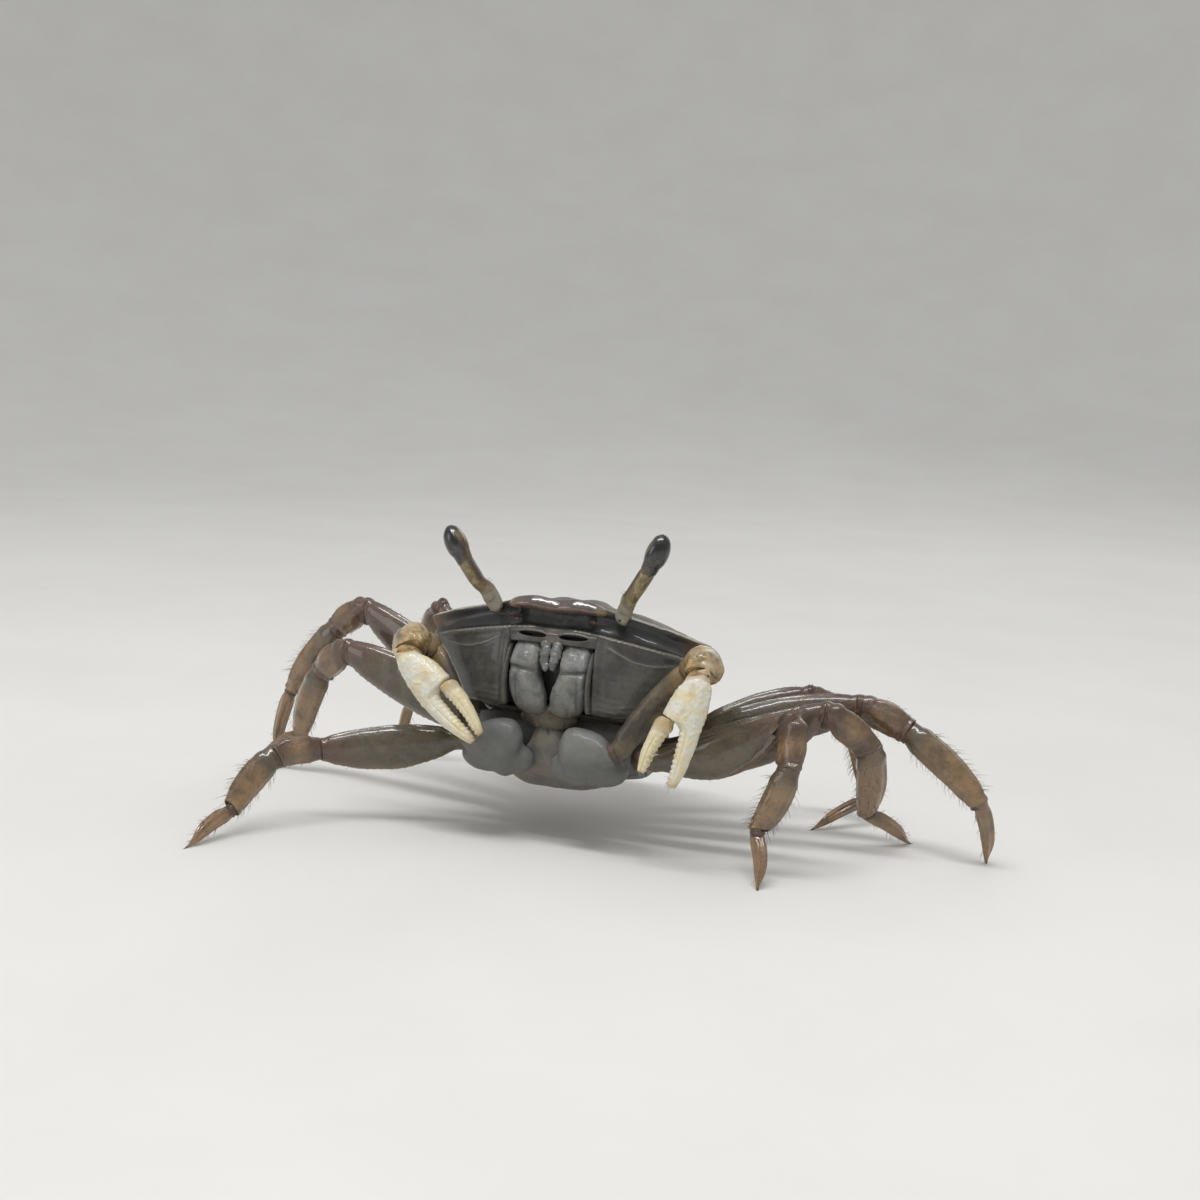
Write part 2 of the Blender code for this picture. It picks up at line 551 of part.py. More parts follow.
def build_claw(side):
    """The small feeding claw: ischium, merus, carpus, hand with fixed finger, movable finger."""
    places = CLAW_ROUTES[side]
    route = mirrored([*places["ischium"], places["merus_end"], places["carpus_end"], places["tip"]], side)
    points = [body_frame @ p for p in route]
    ways = [(b - a).normalized() for a, b in zip(points, points[1:])]
    cuts = [joint_cuts(points[i + 1], ways[i], ways[i + 1]) for i in range(3)]
    hand_sections = opened(HAND_SECTIONS, CLAW_GAPE[side])
    tables = (ISCHIUM_SECTIONS, CLAW_MERUS_SECTIONS, CLAW_CARPUS_SECTIONS, hand_sections)
    names = ("ischium", "merus", "carpus", "hand")
    looks = ("breast", "claw_arm", "claw_arm", "hand")
    starts = [None] + [cut[1] for cut in cuts]
    ends = [cut[0] for cut in cuts] + [None]
    outer = Vector((1.0 if side == "left" else -1.0, 0.0, 0.0))
    ups = (Vector((0.0, 0.0, 1.0)), Vector((0.0, 0.0, 1.0)), outer + Vector((0.0, 0.0, 1.0)), outer)
    for i, name in enumerate(names):
        rings = piece_rings(points[i], points[i + 1], tables[i], ups[i], starts[i], ends[i], CLAW_BOWS[i],
                            CLAW_SIDES)
        loft(f"claw_{side}_{name}", rings, materials[looks[i]], crab_empty)
    sections = opened(FINGER_SECTIONS, -CLAW_GAPE[side])
    rings = piece_rings(points[3], points[4], sections, outer, None, None, 0.0, CLAW_SIDES)
    loft(f"claw_{side}_finger", rings, materials["hand"], crab_empty)


def centre_on_floor():
    """Slide the whole crab so that the middle of its box stands over the origin."""
    bpy.context.view_layer.update()
    shapes = [item for item in crab.objects if item.type == "MESH"]
    corners = [item.matrix_world @ v.co for item in shapes for v in item.data.vertices]
    for axis in (0, 1):
        places = [corner[axis] for corner in corners]
        crab_empty.location[axis] = -(min(places) + max(places)) / 2


clear_scene()
crab = bpy.data.collections.new("fiddler_crab")
bpy.context.scene.collection.children.link(crab)
materials = {name: make_material(name) for name in COLOURS}

crab_empty = bpy.data.objects.new("crab_frame", None)
crab.objects.link(crab_empty)
body_frame = Matrix.Translation((0.0, 0.0, BODY_HEIGHT)) @ Matrix.Rotation(math.radians(-BODY_PITCH), 4, "X")
body_empty = bpy.data.objects.new("body_frame", None)
body_empty.location = (0.0, 0.0, BODY_HEIGHT * MM)
body_empty.rotation_euler = (math.radians(-BODY_PITCH), 0.0, 0.0)
body_empty.parent = crab_empty
crab.objects.link(body_empty)

build_carapace(body_empty)
build_sternum(body_empty)
build_pleon(body_empty)
for side_name in ("left", "right"):
    build_maxilliped(side_name, body_empty)
    build_eye(side_name, body_empty)
    build_antenna(side_name, body_empty)
    build_claw(side_name)
    for leg_number in HIP_Y:
        build_leg(side_name, leg_number)
centre_on_floor()
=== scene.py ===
"""Looks of the fiddler crab: wet shell pieces, joint skin, eyes, mouth parts, bristles and the stage."""
import json
import math
from contextlib import contextmanager

import bpy
import numpy as np
from bpy.props import FloatProperty, FloatVectorProperty, IntProperty, PointerProperty
from mathutils import Matrix, Vector, noise


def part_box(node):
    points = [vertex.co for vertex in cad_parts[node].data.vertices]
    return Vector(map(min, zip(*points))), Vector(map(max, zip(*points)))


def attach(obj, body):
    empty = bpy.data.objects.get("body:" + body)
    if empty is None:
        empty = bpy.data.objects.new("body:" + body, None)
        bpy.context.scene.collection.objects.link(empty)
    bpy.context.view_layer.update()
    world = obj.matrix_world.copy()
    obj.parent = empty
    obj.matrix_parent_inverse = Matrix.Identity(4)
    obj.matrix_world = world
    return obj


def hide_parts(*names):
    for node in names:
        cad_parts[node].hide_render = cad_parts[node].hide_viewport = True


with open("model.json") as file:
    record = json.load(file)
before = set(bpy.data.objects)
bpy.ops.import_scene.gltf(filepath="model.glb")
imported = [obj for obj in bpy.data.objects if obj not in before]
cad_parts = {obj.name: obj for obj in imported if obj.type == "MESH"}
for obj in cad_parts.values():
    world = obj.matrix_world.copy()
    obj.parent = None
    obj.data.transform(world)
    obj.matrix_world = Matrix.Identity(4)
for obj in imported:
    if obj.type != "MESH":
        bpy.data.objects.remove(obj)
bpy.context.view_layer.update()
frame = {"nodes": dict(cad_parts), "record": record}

bl_info = {
    "name": "Fiddler crab looks",
    "version": (1, 0, 0),
    "blender": (4, 5, 0),
    "location": "3D View > Sidebar > Crab",
    "description": "Dresses the fiddler crab in its wet shell, joint skin, eyes and bristles",
    "category": "Object",
}

MM = 0.001
SIDES = {"left": 1.0, "right": -1.0}

# Lengths from here to the camera's are in millimetres, angles in degrees, places in the body's own frame.
# That frame: its height over the floor, its pitch, and how far the shell reaches behind it
BODY_HEIGHT, BODY_PITCH, SHELL_REAR = 16.5, 10.0, 8.11

# The face: its top margin from the middle outwards, its foot, its rim and ridge as shares of the way down,
# and half the width of the mouth
MARGIN_X = (0.0, 1.9, 3.9, 4.8, 6.5, 9.2, 12.0)
MARGIN_Z = (1.55, 1.75, 1.5, 1.3, 0.95, 0.35, -0.5)
MARGIN_Y = (-8.15, -8.45, -8.15, -7.0, -6.45, -5.95, -5.0)
FACE_FOOT_Z = -7.0
RIM_DOWN, RIDGE_DOWN = 0.012, 0.262
MOUTH_HALF_WIDTH = 3.5

# The front lip: its length, half its depth and height, its two lobes, and how many degrees it leans back
LIP_LENGTH, LIP_DEPTH, LIP_HEIGHT = 8.3, 0.42, 0.48
LOBE_X, LOBE_WIDTH = 1.45, 1.0
LIP_TILT = 31.0

# The bar across the top of the mouth, and its two slits
BAR_WIDTH, BAR_DEPTH, BAR_HEIGHT = 7.3, 1.3, 1.15
BAR_Y, BAR_Z, BAR_BULGE = -7.35, -1.22, 0.3
SLIT_START, SLIT_LENGTH, SLIT_HALF_HEIGHT, SLIT_Z = 0.6, 2.2, 0.2, -1.1

# The knobs of a mouth palp, from its root to its tip: place and radius
PALP_KNOBS = ((0.5, -8.0, -1.85, 0.43), (0.47, -8.2, -2.25, 0.42), (0.44, -8.3, -2.65, 0.4),
              (0.41, -8.3, -3.0, 0.36), (0.37, -8.25, -3.3, 0.31), (0.34, -8.2, -3.6, 0.25))

# The rod beside a mouth plate: its foot, how far it rises and leans in, and how far it bows ahead
ROD_FOOT, ROD_RISE, ROD_LEAN, ROD_BOW = (3.5, -7.85, -6.9), 4.9, 0.06, 0.8

# Balls that are shaped further: place and radii. The eye sockets lie behind the stalks' raised roots.
BODY_FOLD = ((0.0, -0.4, -7.15), (8.0, 6.4, 0.85))
MOUTH_FOOT = ((-0.05, -6.75, -7.55), (2.4, 0.6, 1.0))
MOUNDS = (((2.75, -7.35, -11.1), (2.1, 1.35, 1.5)), ((4.7, -6.9, -11.0), (2.3, 1.5, 1.45)))
SOCKET_RADII, SOCKET_BEHIND = (0.62, 0.6, 0.46), (0.0, 0.35, -0.3)
HIP_RADII = (0.75, 1.02, 1.02)

# The distance between the beads of the ridge and between the low lines of the walls
BEAD_STEP = 0.42

# How many fine rings a feeler has
FEELER_RINGS = 14

# The swellings of the back: height, distance from the middle, width, place along the body and length
BACK_SWELLINGS = ((0.2, 6.4, 2.2, 1.8, 3.4), (0.2, 1.5, 1.1, -2.4, 2.0),
                  (0.16, 0.0, 1.6, 3.6, 1.6), (0.14, 8.6, 1.6, -3.6, 1.4))

# Where the sutures of the breast plate lie along the body
SUTURES = (-5.6, -3.1, -0.4, 2.4, 5.0)

# The fine line that runs below the ridge, from beside the mouth outwards
FOLD_START, FOLD_END = 4.3, 10.4
FOLD_Z, FOLD_DROP, FOLD_SAG = -1.4, 0.8, 0.75

# The distance between the fine folds of the joints' skin
SKIN_FOLD = 0.3

# The radius of the round knuckle between a claw's arm and its wrist
KNUCKLE = 1.1

# The distance between the teeth of the fingers, and between the bumps on the edges of the arms and legs
TOOTH_STEP, ARM_STEP, LEG_STEP = 0.42, 0.5, 0.62

# Where the movable finger begins, as a share of the way from a hand's root to its tip
FINGER_START = 0.49

# The size of the cells of the remeshed claw roots and mouth palps
ROOT_CELL, PALP_CELL = 0.085, 0.045

# How far an eyestalk's foot is drawn up along the stalk, and back towards the shell
STALK_LIFT, STALK_BACK = 1.4, 0.6

# Half the gap between two neighbouring nodes
HALF_GAP = 0.15

# The camera: how far round and above the crab it stands, its tilt, its distance, the height that it looks
# at, the picture's size and focal length in pixels, the pixel of the crab's middle, and the sensor's width
CAMERA_AZIMUTH, CAMERA_ELEVATION, CAMERA_ROLL = 18.0, 12.0, 3.2
CAMERA_DISTANCE, CAMERA_TARGET_HEIGHT = 130.0, 11.0
IMAGE_SIZE, FOCAL_PIXELS = 1200, 1540
TARGET_PIXEL = (582, 690)
SENSOR_WIDTH = 36.0

# The floor: the radius of its flat part and of its bend, in metres, and how many rings the bend has
FLOOR_RADIUS, FLOOR_BEND, FLOOR_RINGS = 0.3, 0.5, 20

# The lamps: place and size in metres, and power in watts
LAMPS = (
    ("lamp_over", (-0.04, -0.05, 0.30), (0.16, 0.16), 0.06),
    ("lamp_tube", (0.0, -0.09, 0.27), (0.24, 0.03), 0.4),
    ("lamp_front", (-0.30, -0.28, 0.13), (0.2, 0.2), 0.2),
    ("lamp_back", (0.10, 0.30, 0.2), (0.3, 0.1), 0.15),
)
LAMP_AIM = Vector((0.0, 0.0, 0.01))
ROOM_COLOUR, ROOM_STRENGTH = (0.97, 0.98, 1.0, 1.0), 0.57

LEG_PIECES = ("merus", "carpus", "propodus", "dactyl")
CLAW_PIECES = ("ischium", "merus", "carpus", "hand")

# How much wider pieces are made at even steps from root to tip, so that limbs run on over their joints
FULLER = {
    "carpus": (1.34, 1.08, 0.97, 0.98, 0.98, 0.97, 0.96, 0.94, 0.9, 0.95, 1.1),
    "first carpus": (1.5, 1.24, 1.06, 0.98, 0.96, 0.96, 0.95, 0.93, 0.9, 0.95, 1.1),
    "propodus": (1.25, 1.1, 1.02, 1.0, 1.0, 1.0, 1.0, 1.0, 1.0, 1.03, 1.08),
    "wrist": (1.3, 1.24, 1.12, 1.0, 0.95, 0.94, 0.94, 0.98, 1.04, 1.1, 1.1),
    "stalk": (1.14, 0.97, 0.89, 0.91, 0.97, 1.05, 1.12, 1.12, 1.1, 1.06, 1.0),
}
SEED = 7
BLACK, WHITE = (0.004, 0.004, 0.004, 1.0), (1.0, 1.0, 1.0, 1.0)

# The angle from which an edge counts as sharp, and its crease in most leg and claw pieces
SHARP = math.radians(50)
LIMB_CREASE = 0.4

# A line's distance is kept as a share, where 0 to 1 stands for this many millimetres
LINE_REACH = 4.0


def only(piece):
    """Select and activate one object alone."""
    for item in bpy.context.selected_objects:
        item.select_set(False)
    bpy.context.view_layer.objects.active = piece
    piece.select_set(True)


def apply_modifier(piece, kind, **settings):
    only(piece)
    modifier = piece.modifiers.new(kind.title(), kind)
    for key, value in settings.items():
        setattr(modifier, key, value)
    bpy.ops.object.modifier_apply(modifier=modifier.name)


@contextmanager
def editing():
    """Edit mode on the active object, with all of it selected."""
    bpy.ops.object.mode_set(mode="EDIT")
    bpy.ops.mesh.select_all(action="SELECT")
    yield
    bpy.ops.object.mode_set(mode="OBJECT")


def node_copy(node, name):
    """A piece of its own from a node's mesh, with its loose triangles merged into quads."""
    piece = bpy.data.objects.new(name, frame["nodes"][node].data.copy())
    bpy.context.scene.collection.objects.link(piece)
    piece.data.materials.clear()
    only(piece)
    bpy.ops.mesh.customdata_custom_splitnormals_clear()
    with editing():
        bpy.ops.mesh.remove_doubles(threshold=1e-6)
        bpy.ops.mesh.tris_convert_to_quads(face_threshold=math.pi, shape_threshold=math.pi)
    return piece


def rounded(piece, levels, crease=0.0):
    """Subdivide a piece smoothly; its sharp edges can be creased first to hold their place."""
    if crease:
        only(piece)
        with editing():
            bpy.ops.mesh.select_mode(type="EDGE")
            bpy.ops.mesh.select_all(action="DESELECT")
            bpy.ops.mesh.edges_select_sharp(sharpness=SHARP)
            bpy.ops.transform.edge_crease(value=crease)
            bpy.ops.mesh.select_mode(type="VERT")
    apply_modifier(piece, "SUBSURF", levels=levels, render_levels=levels)
    for flag in ("sharp_edge", "sharp_face"):
        if flag in piece.data.attributes:
            piece.data.attributes.remove(piece.data.attributes[flag])
    piece.data.shade_smooth()
    return piece


def shell_of(node, name, crease=0.0, extra=0):
    """A rounded piece that stands for a node, with extra levels of subdivision where it is finely cut."""
    return rounded(node_copy(node, name), sizes().fineness + extra, crease)


def points_of(piece):
    places = np.empty(len(piece.data.vertices) * 3)
    piece.data.vertices.foreach_get("co", places)
    return places.reshape(-1, 3)


def normals_of(piece):
    normals = np.empty(len(piece.data.vertices) * 3)
    piece.data.vertex_normals.foreach_get("vector", normals)
    return normals.reshape(-1, 3)


def move_points(piece, places):
    piece.data.vertices.foreach_set("co", places.ravel())
    piece.data.update()


def raise_surface(piece, height):
    """Move each point along its normal by a height in millimetres."""
    move_points(piece, points_of(piece) + normals_of(piece) * (height * MM)[:, None])


def paint(piece, **shares):
    """Keep shares from 0 to 1 at a piece's points, which its material reads by their names."""
    attributes = piece.data.attributes
    for name, values in shares.items():
        layer = attributes.get(name) or attributes.new(name, "FLOAT", "POINT")
        values = np.broadcast_to(np.clip(values, 0.0, 1.0), (len(layer.data),))
        layer.data.foreach_set("value", values.astype(np.float32))


def body_matrix():
    low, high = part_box("carapace")
    place = ((low.x + high.x) / 2, high.y - SHELL_REAR * MM, BODY_HEIGHT * MM)
    return Matrix.Translation(place) @ Matrix.Rotation(math.radians(-BODY_PITCH), 4, "X")


BODY = body_matrix()
BODY_TILT = BODY.to_3x3().to_4x4()
BODY_PLACE = np.array(BODY.translation)
BODY_TURN = np.array(BODY.to_3x3())


def to_body(places):
    """Points of the row frame, in metres, as millimetres of the body's own frame."""
    return (places - BODY_PLACE) @ BODY_TURN / MM


def from_body(x, y, z):
    return BODY @ Vector((x * MM, y * MM, z * MM))


def set_in_body(piece, places):
    """Move a piece's points to places in millimetres of the body's own frame."""
    move_points(piece, (places * MM) @ BODY_TURN.T + BODY_PLACE)


def rough(places, size, seed=0.0):
    """Smooth noise from -1 to 1 with bumps of a size in millimetres; three sizes stretch them."""
    scaled = places / np.array(size)
    return np.array([noise.noise((x + seed, y, z)) for x, y, z in scaled.tolist()])


def bell(values, centre, width):
    return np.exp(-((values - centre) / width) ** 2)


def slope(values, low, high):
    """0 below low, 1 above high, smooth between; low may be the larger one."""
    share = np.clip((values - low) / (high - low), 0.0, 1.0)
    return share * share * (3 - 2 * share)


def keep(piece, look, slot, *nodes):
    """Give a finished piece its material and its body, and hide the nodes it stands for. Its slot is not
    used.
    """
    piece.data.materials.clear()
    piece.data.materials.append(look)
    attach(piece, "root")
    if nodes:
        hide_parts(*nodes)
    return piece


def join(pieces, name):
    only(pieces[0])
    for piece in pieces[1:]:
        piece.select_set(True)
    if len(pieces) > 1:
        bpy.ops.object.join()
    pieces[0].name = name
    return pieces[0]


def melt(pieces, name, cell, factor, rounds):
    """Join pieces that run into each other under one smooth skin, with cells of a size in millimetres."""
    piece = join(pieces, name)
    apply_modifier(piece, "REMESH", mode="VOXEL", voxel_size=cell * MM)
    apply_modifier(piece, "SMOOTH", factor=factor, iterations=rounds)
    piece.data.shade_smooth()
    return piece


def settle(piece):
    """Move an object's place, turn and size into its mesh."""
    only(piece)
    bpy.ops.object.transform_apply(location=True, rotation=True, scale=True)
    piece.data.shade_smooth()
    return piece


class Wire:
    """A value in a material's node tree. Arithmetic on wires adds Math nodes."""

    def __init__(self, net, socket):
        self.net = net
        self.socket = socket

    def math(self, operation, *values):
        return self.net.node("ShaderNodeMath", {"operation": operation}, dict(enumerate(values)))

    def __add__(self, other):
        return self.math("ADD", self, other)

    def __sub__(self, other):
        return self.math("SUBTRACT", self, other)

    def __rsub__(self, other):
        return self.math("SUBTRACT", other, self)

    def __mul__(self, other):
        return self.math("MULTIPLY", self, other)

    __radd__ = __add__
    __rmul__ = __mul__

    def away(self, centre):
        """How far the value is from a centre, whichever way."""
        return self.math("ABSOLUTE", self - centre)

    def between(self, low, high):
        """0 at low and 1 at high, smooth between."""
        values = {"Value": self, "From Min": low, "From Max": high}
        return self.net.node("ShaderNodeMapRange", {"interpolation_type": "SMOOTHSTEP"}, values)


class Net:
    """A new material. Its nodes all come from one method, and constants go on the shader's own sockets."""

    def __init__(self, name, **constants):
        self.material = bpy.data.materials.new(name)
        self.material.use_nodes = True
        self.tree = self.material.node_tree
        self.shader = self.tree.nodes["Principled BSDF"]
        for socket, value in constants.items():
            self.shader.inputs[socket.replace("_", " ")].default_value = value

    def node(self, kind, settings, inputs, output=0):
        made = self.tree.nodes.new(kind)
        for key, value in settings.items():
            if key == "stops":
                self.set_stops(made.color_ramp, value)
            else:
                setattr(made, key, value)
        for key, value in inputs.items():
            self.feed(made.inputs[key], value)
        return Wire(self, made.outputs[output])

    def feed(self, socket, value):
        if isinstance(value, Wire):
            self.tree.links.new(value.socket, socket)
        else:
            socket.default_value = value

    def set_stops(self, ramp, stops):
        while len(ramp.elements) < len(stops):
            ramp.elements.new(1.0)
        for element, (place, colour) in zip(ramp.elements, stops):
            element.position = place
            element.color = colour

    def share(self, name):
        return self.node("ShaderNodeAttribute", {"attribute_name": name}, {}, "Fac")

    def on_object(self, size):
        """A texture's inputs for bumps of a size in millimetres, on the object's own coordinates."""
        return {"Vector": self.node("ShaderNodeTexCoord", {}, {}, "Object"), "Scale": 1 / (size * MM)}

    def cloud(self, size, detail=3.0, roughness=0.5, distortion=0.0):
        values = {"Detail": detail, "Roughness": roughness, "Distortion": distortion}
        return self.node("ShaderNodeTexNoise", {}, {**self.on_object(size), **values}, "Fac")

    def cells(self, size):
        return self.node("ShaderNodeTexVoronoi", {}, self.on_object(size), "Distance")

    def mix(self, first, second, factor):
        settings = {"data_type": "RGBA"}
        return self.node("ShaderNodeMix", settings, {0: factor, 6: first, 7: second}, 2)

    def relief(self, height, depth, previous=None):
        """A Bump node for a height from 0 to 1 that stands for a depth in millimetres."""
        inputs = {"Height": height, "Strength": 1.0, "Distance": depth * MM}
        if previous is not None:
            inputs["Normal"] = previous
        return self.node("ShaderNodeBump", {}, inputs, "Normal")

    def finish(self, colour, roughness, normal):
        self.feed(self.shader.inputs["Base Color"], colour)
        self.feed(self.shader.inputs["Roughness"], roughness)
        self.feed(self.shader.inputs["Normal"], normal)
        return self.material


def crust(name, colour, shade, layers, roughness=0.42, coat=0.3, grain=0.3, grain_depth=0.02,
          patch=1.6, flesh=0.0, ramp=None, lines=(), marks=(), gloss=0.35, flecks=0.25, shine=None):
    """The finish that all shell pieces share: mottled colour, painted layers, fine grain and a wet film.

    A layer is an attribute, a colour and a strength. A mark is an attribute, a colour, the size of its
    blotches, how sparse they are and a strength. A line is an attribute of its distance, one of its reach,
    a colour, a width in millimetres and a strength. Shine names an attribute that adds to the film.
    """
    net = Net(name, Coat_Weight=coat, Coat_Roughness=0.07, Specular_IOR_Level=gloss,
              Subsurface_Weight=flesh, Subsurface_Radius=(1.0, 0.6, 0.35), Subsurface_Scale=0.5 * MM)
    blotch = net.cloud(patch, 5.0, 0.62, 0.4)
    fleck = net.cloud(patch * 0.16, 3.0, 0.6)
    if ramp:
        tone = net.node("ShaderNodeValToRGB", {"stops": ramp}, {"Fac": net.share("reach")}, "Color")
        tone = net.mix(tone, net.mix(tone, shade, 0.6), blotch.between(0.42, 0.66))
    else:
        tone = net.mix(colour, shade, blotch.between(0.4, 0.66))
    for layer, paint_colour, strength in layers:
        amount = net.share(layer) * (0.8 + 0.4 * blotch) * strength
        tone = net.mix(tone, paint_colour, amount)
    for mask, mark_colour, size, cover, strength in marks:
        amount = net.cloud(size, 6.0, 0.7, 0.9).between(cover, cover + 0.1) * net.share(mask) * strength
        tone = net.mix(tone, mark_colour, amount)
    for gap, mask, line_colour, width, strength in lines:
        wander = net.cloud(1.1, 2.0) * 0.05
        distance = (net.share(gap) + wander - 0.525).away(0.0) * LINE_REACH
        amount = (1.0 - distance.between(width * 0.35, width)) * net.share(mask) * strength
        tone = net.mix(tone, line_colour, amount * (0.6 + 0.7 * fleck))
    tone = net.mix(tone, net.mix(tone, BLACK, flecks), fleck.between(0.5, 0.72))
    dullness = blotch * 0.16 + roughness - 0.08 + fleck * 0.08
    if shine:
        net.feed(net.shader.inputs["Coat Weight"], net.share(shine) * (1.0 - coat) + coat)
        dullness = dullness - net.share(shine) * 0.2
    pores = net.cells(grain)
    bumps = net.relief(net.cloud(grain * 0.8, 4.0, 0.65), grain_depth)
    bumps = net.relief(pores.between(0.0, 0.8), grain_depth * 0.7, bumps)
    return net.finish(tone, dullness, bumps)


def meeting(first, second, reach=0.5):
    """The middle of the gap between two neighbours, the way across it, and the points of its faces."""
    a = points_of(frame["nodes"][first])
    b = points_of(frame["nodes"][second])
    gaps = np.linalg.norm(a[:, None] - b[None], axis=2)
    near = np.vstack([a[gaps.min(1) < reach * MM], b[gaps.min(0) < reach * MM]])
    if len(near) < 6:
        raise RuntimeError(f"{first} and {second} don't meet")
    middle = near.mean(0)
    across = np.linalg.svd(near - middle, full_matrices=False)[2][2]
    return middle, across * np.sign(across @ (b.mean(0) - a.mean(0))), near


def far_end(node, place):
    """The middle of the end of a node that is farthest from a place."""
    points = np.unique(points_of(frame["nodes"][node]).round(7), axis=0)
    order = np.argsort(-np.linalg.norm(points - place, axis=1))
    return points[order[:12]].mean(0)


def limb_stops(nodes):
    """The joints of a limb's nodes, root first and tip last, each as its middle and the way across it."""
    joints = [meeting(a, b)[:2] for a, b in zip(nodes, nodes[1:])]
    root = far_end(nodes[0], joints[0][0])
    tip = far_end(nodes[-1], joints[-1][0])
    return [(root, unit(joints[0][0] - root)), *joints, (tip, unit(tip - joints[-1][0]))]


def unit(vector):
    return vector / np.linalg.norm(vector)


def middle_line(share, places, stations=14):
    """The middle of a long piece beside each of its points, from slices across it."""
    marks = np.linspace(share.min(), share.max(), stations)
    width = (marks[1] - marks[0]) * 0.7
    middles = []
    for mark in marks:
        near = np.exp(-((share - mark) / width) ** 2)[:, None]
        middles.append((places * near).sum(0) / near.sum())
    middles = np.array(middles)
    return np.column_stack([np.interp(share, marks, middles[:, axis]) for axis in range(3)])


class Limb:
    """Where the points of a limb piece lie: their share of its length, how they face, how near its ends."""

    def __init__(self, piece, first, last, up):
        start, end = first[0], last[0]
        self.length = np.linalg.norm(end - start) / MM
        self.along = unit(end - start)
        self.up = unit(up - self.along * (up @ self.along))
        self.across = np.cross(self.along, self.up)
        self.places = points_of(piece) / MM
        normals = normals_of(piece)
        self.share = (self.places - start / MM) @ self.along / self.length
        self.facing_up = normals @ self.up
        self.facing_side = normals @ self.across
        self.facing_end = normals @ last[1]
        self.turn = np.arctan2(self.facing_up, self.facing_side)
        self.from_start = (self.places - start / MM) @ first[1] - HALF_GAP
        self.to_end = (end / MM - self.places) @ last[1] - HALF_GAP
        self.end_way = last[1]

    def teeth(self, step):
        """Even bumps from 0 to 1 along the piece, a step in millimetres apart."""
        return waves(self.share * self.length, step)


def waves(places, step):
    return 0.5 + 0.5 * np.sin(places * 2 * math.pi / step)


def widen(piece, limb, factors):
    """Scale a piece's width by factors that follow its length, from its root to its tip."""
    places = points_of(piece)
    middle = middle_line(limb.share, places)
    size = np.interp(limb.share, np.linspace(0.0, 1.0, len(factors)), factors)
    move_points(piece, middle + (places - middle) * size[:, None])


def nest(piece, limb, tuck=0.5, pinch=0.1, hollow=0.35):
    """Slip a piece's root into the rim of the piece before it, and hollow its end for the next one."""
    places = points_of(piece)
    middle = middle_line(limb.share, places)
    places = middle + (places - middle) * (1 - pinch * slope(limb.from_start, 0.7, 0.0))[:, None]
    places -= limb.along * (tuck * MM * slope(limb.from_start, 0.3, 0.0))[:, None]
    places -= limb.end_way * (hollow * MM * slope(limb.facing_end, 0.6, 0.95))[:, None]
    move_points(piece, places)


def rim_relief(limb):
    """The raised rim at a piece's end, the furrow before it, and the low swelling near its root."""
    rim = 0.07 * bell(limb.to_end, 0.12, 0.2) - 0.04 * bell(limb.to_end, 0.5, 0.2)
    return rim + 0.04 * bell(limb.from_start, 0.9, 0.3)


def leg_up(start, end):
    """The direction of a leg piece's upper edge: up, and outwards where the piece drops."""
    along = unit(end - start)
    outward = unit(np.array((along[0], along[1], 0.0)))
    return np.array((0.0, 0.0, 1.0)) + outward * max(0.0, -along[2]) * 2


def shade_merus(limb):
    height = 0.08 * bell(limb.facing_up, 1.0, 0.08) + 0.06 * rough(limb.places, 1.9)
    teeth = limb.teeth(LEG_STEP)
    height += 0.06 * teeth * bell(limb.facing_up, -0.82, 0.14) * slope(limb.share, 0.15, 0.3)
    height += 0.03 * teeth * bell(limb.facing_up, 0.97, 0.06) * slope(limb.share, 0.2, 0.4)
    height += 0.02 * rough(limb.places, 0.35) * slope(limb.facing_up, 0.0, 0.6)
    return height * slope(limb.share, 1.0, 0.85)


def shade_short_piece(limb):
    ridges = 0.05 * np.cos(limb.turn * 6)
    height = ridges * slope(limb.share, 0.05, 0.3) * slope(limb.share, 1.0, 0.8)
    return height + 0.06 * rough(limb.places, 1.3) + 0.02 * rough(limb.places, 0.3)


def shade_dactyl(limb):
    return 0.05 * np.cos(limb.turn * 6) * slope(limb.share, 0.05, 0.2) * slope(limb.share, 0.98, 0.75)


def sharpen_tip(piece, start, end, first=0.55, least=0.3):
    """Draw a piece in towards its axis over its last stretch, so that it ends in a point."""
    places = points_of(piece)
    along = unit(end - start)
    share = (places - start) @ along / np.linalg.norm(end - start)
    middle = start + np.outer(share * np.linalg.norm(end - start), along)
    size = 1 - (1 - least) * slope(share, first, 1.05) ** 1.5
    move_points(piece, middle + (places - middle) * size[:, None])


def stand_on_floor(piece):
    """Lift the points that lie below the floor up to it."""
    places = points_of(piece)
    places[:, 2] = np.maximum(places[:, 2], 0.0)
    move_points(piece, places)


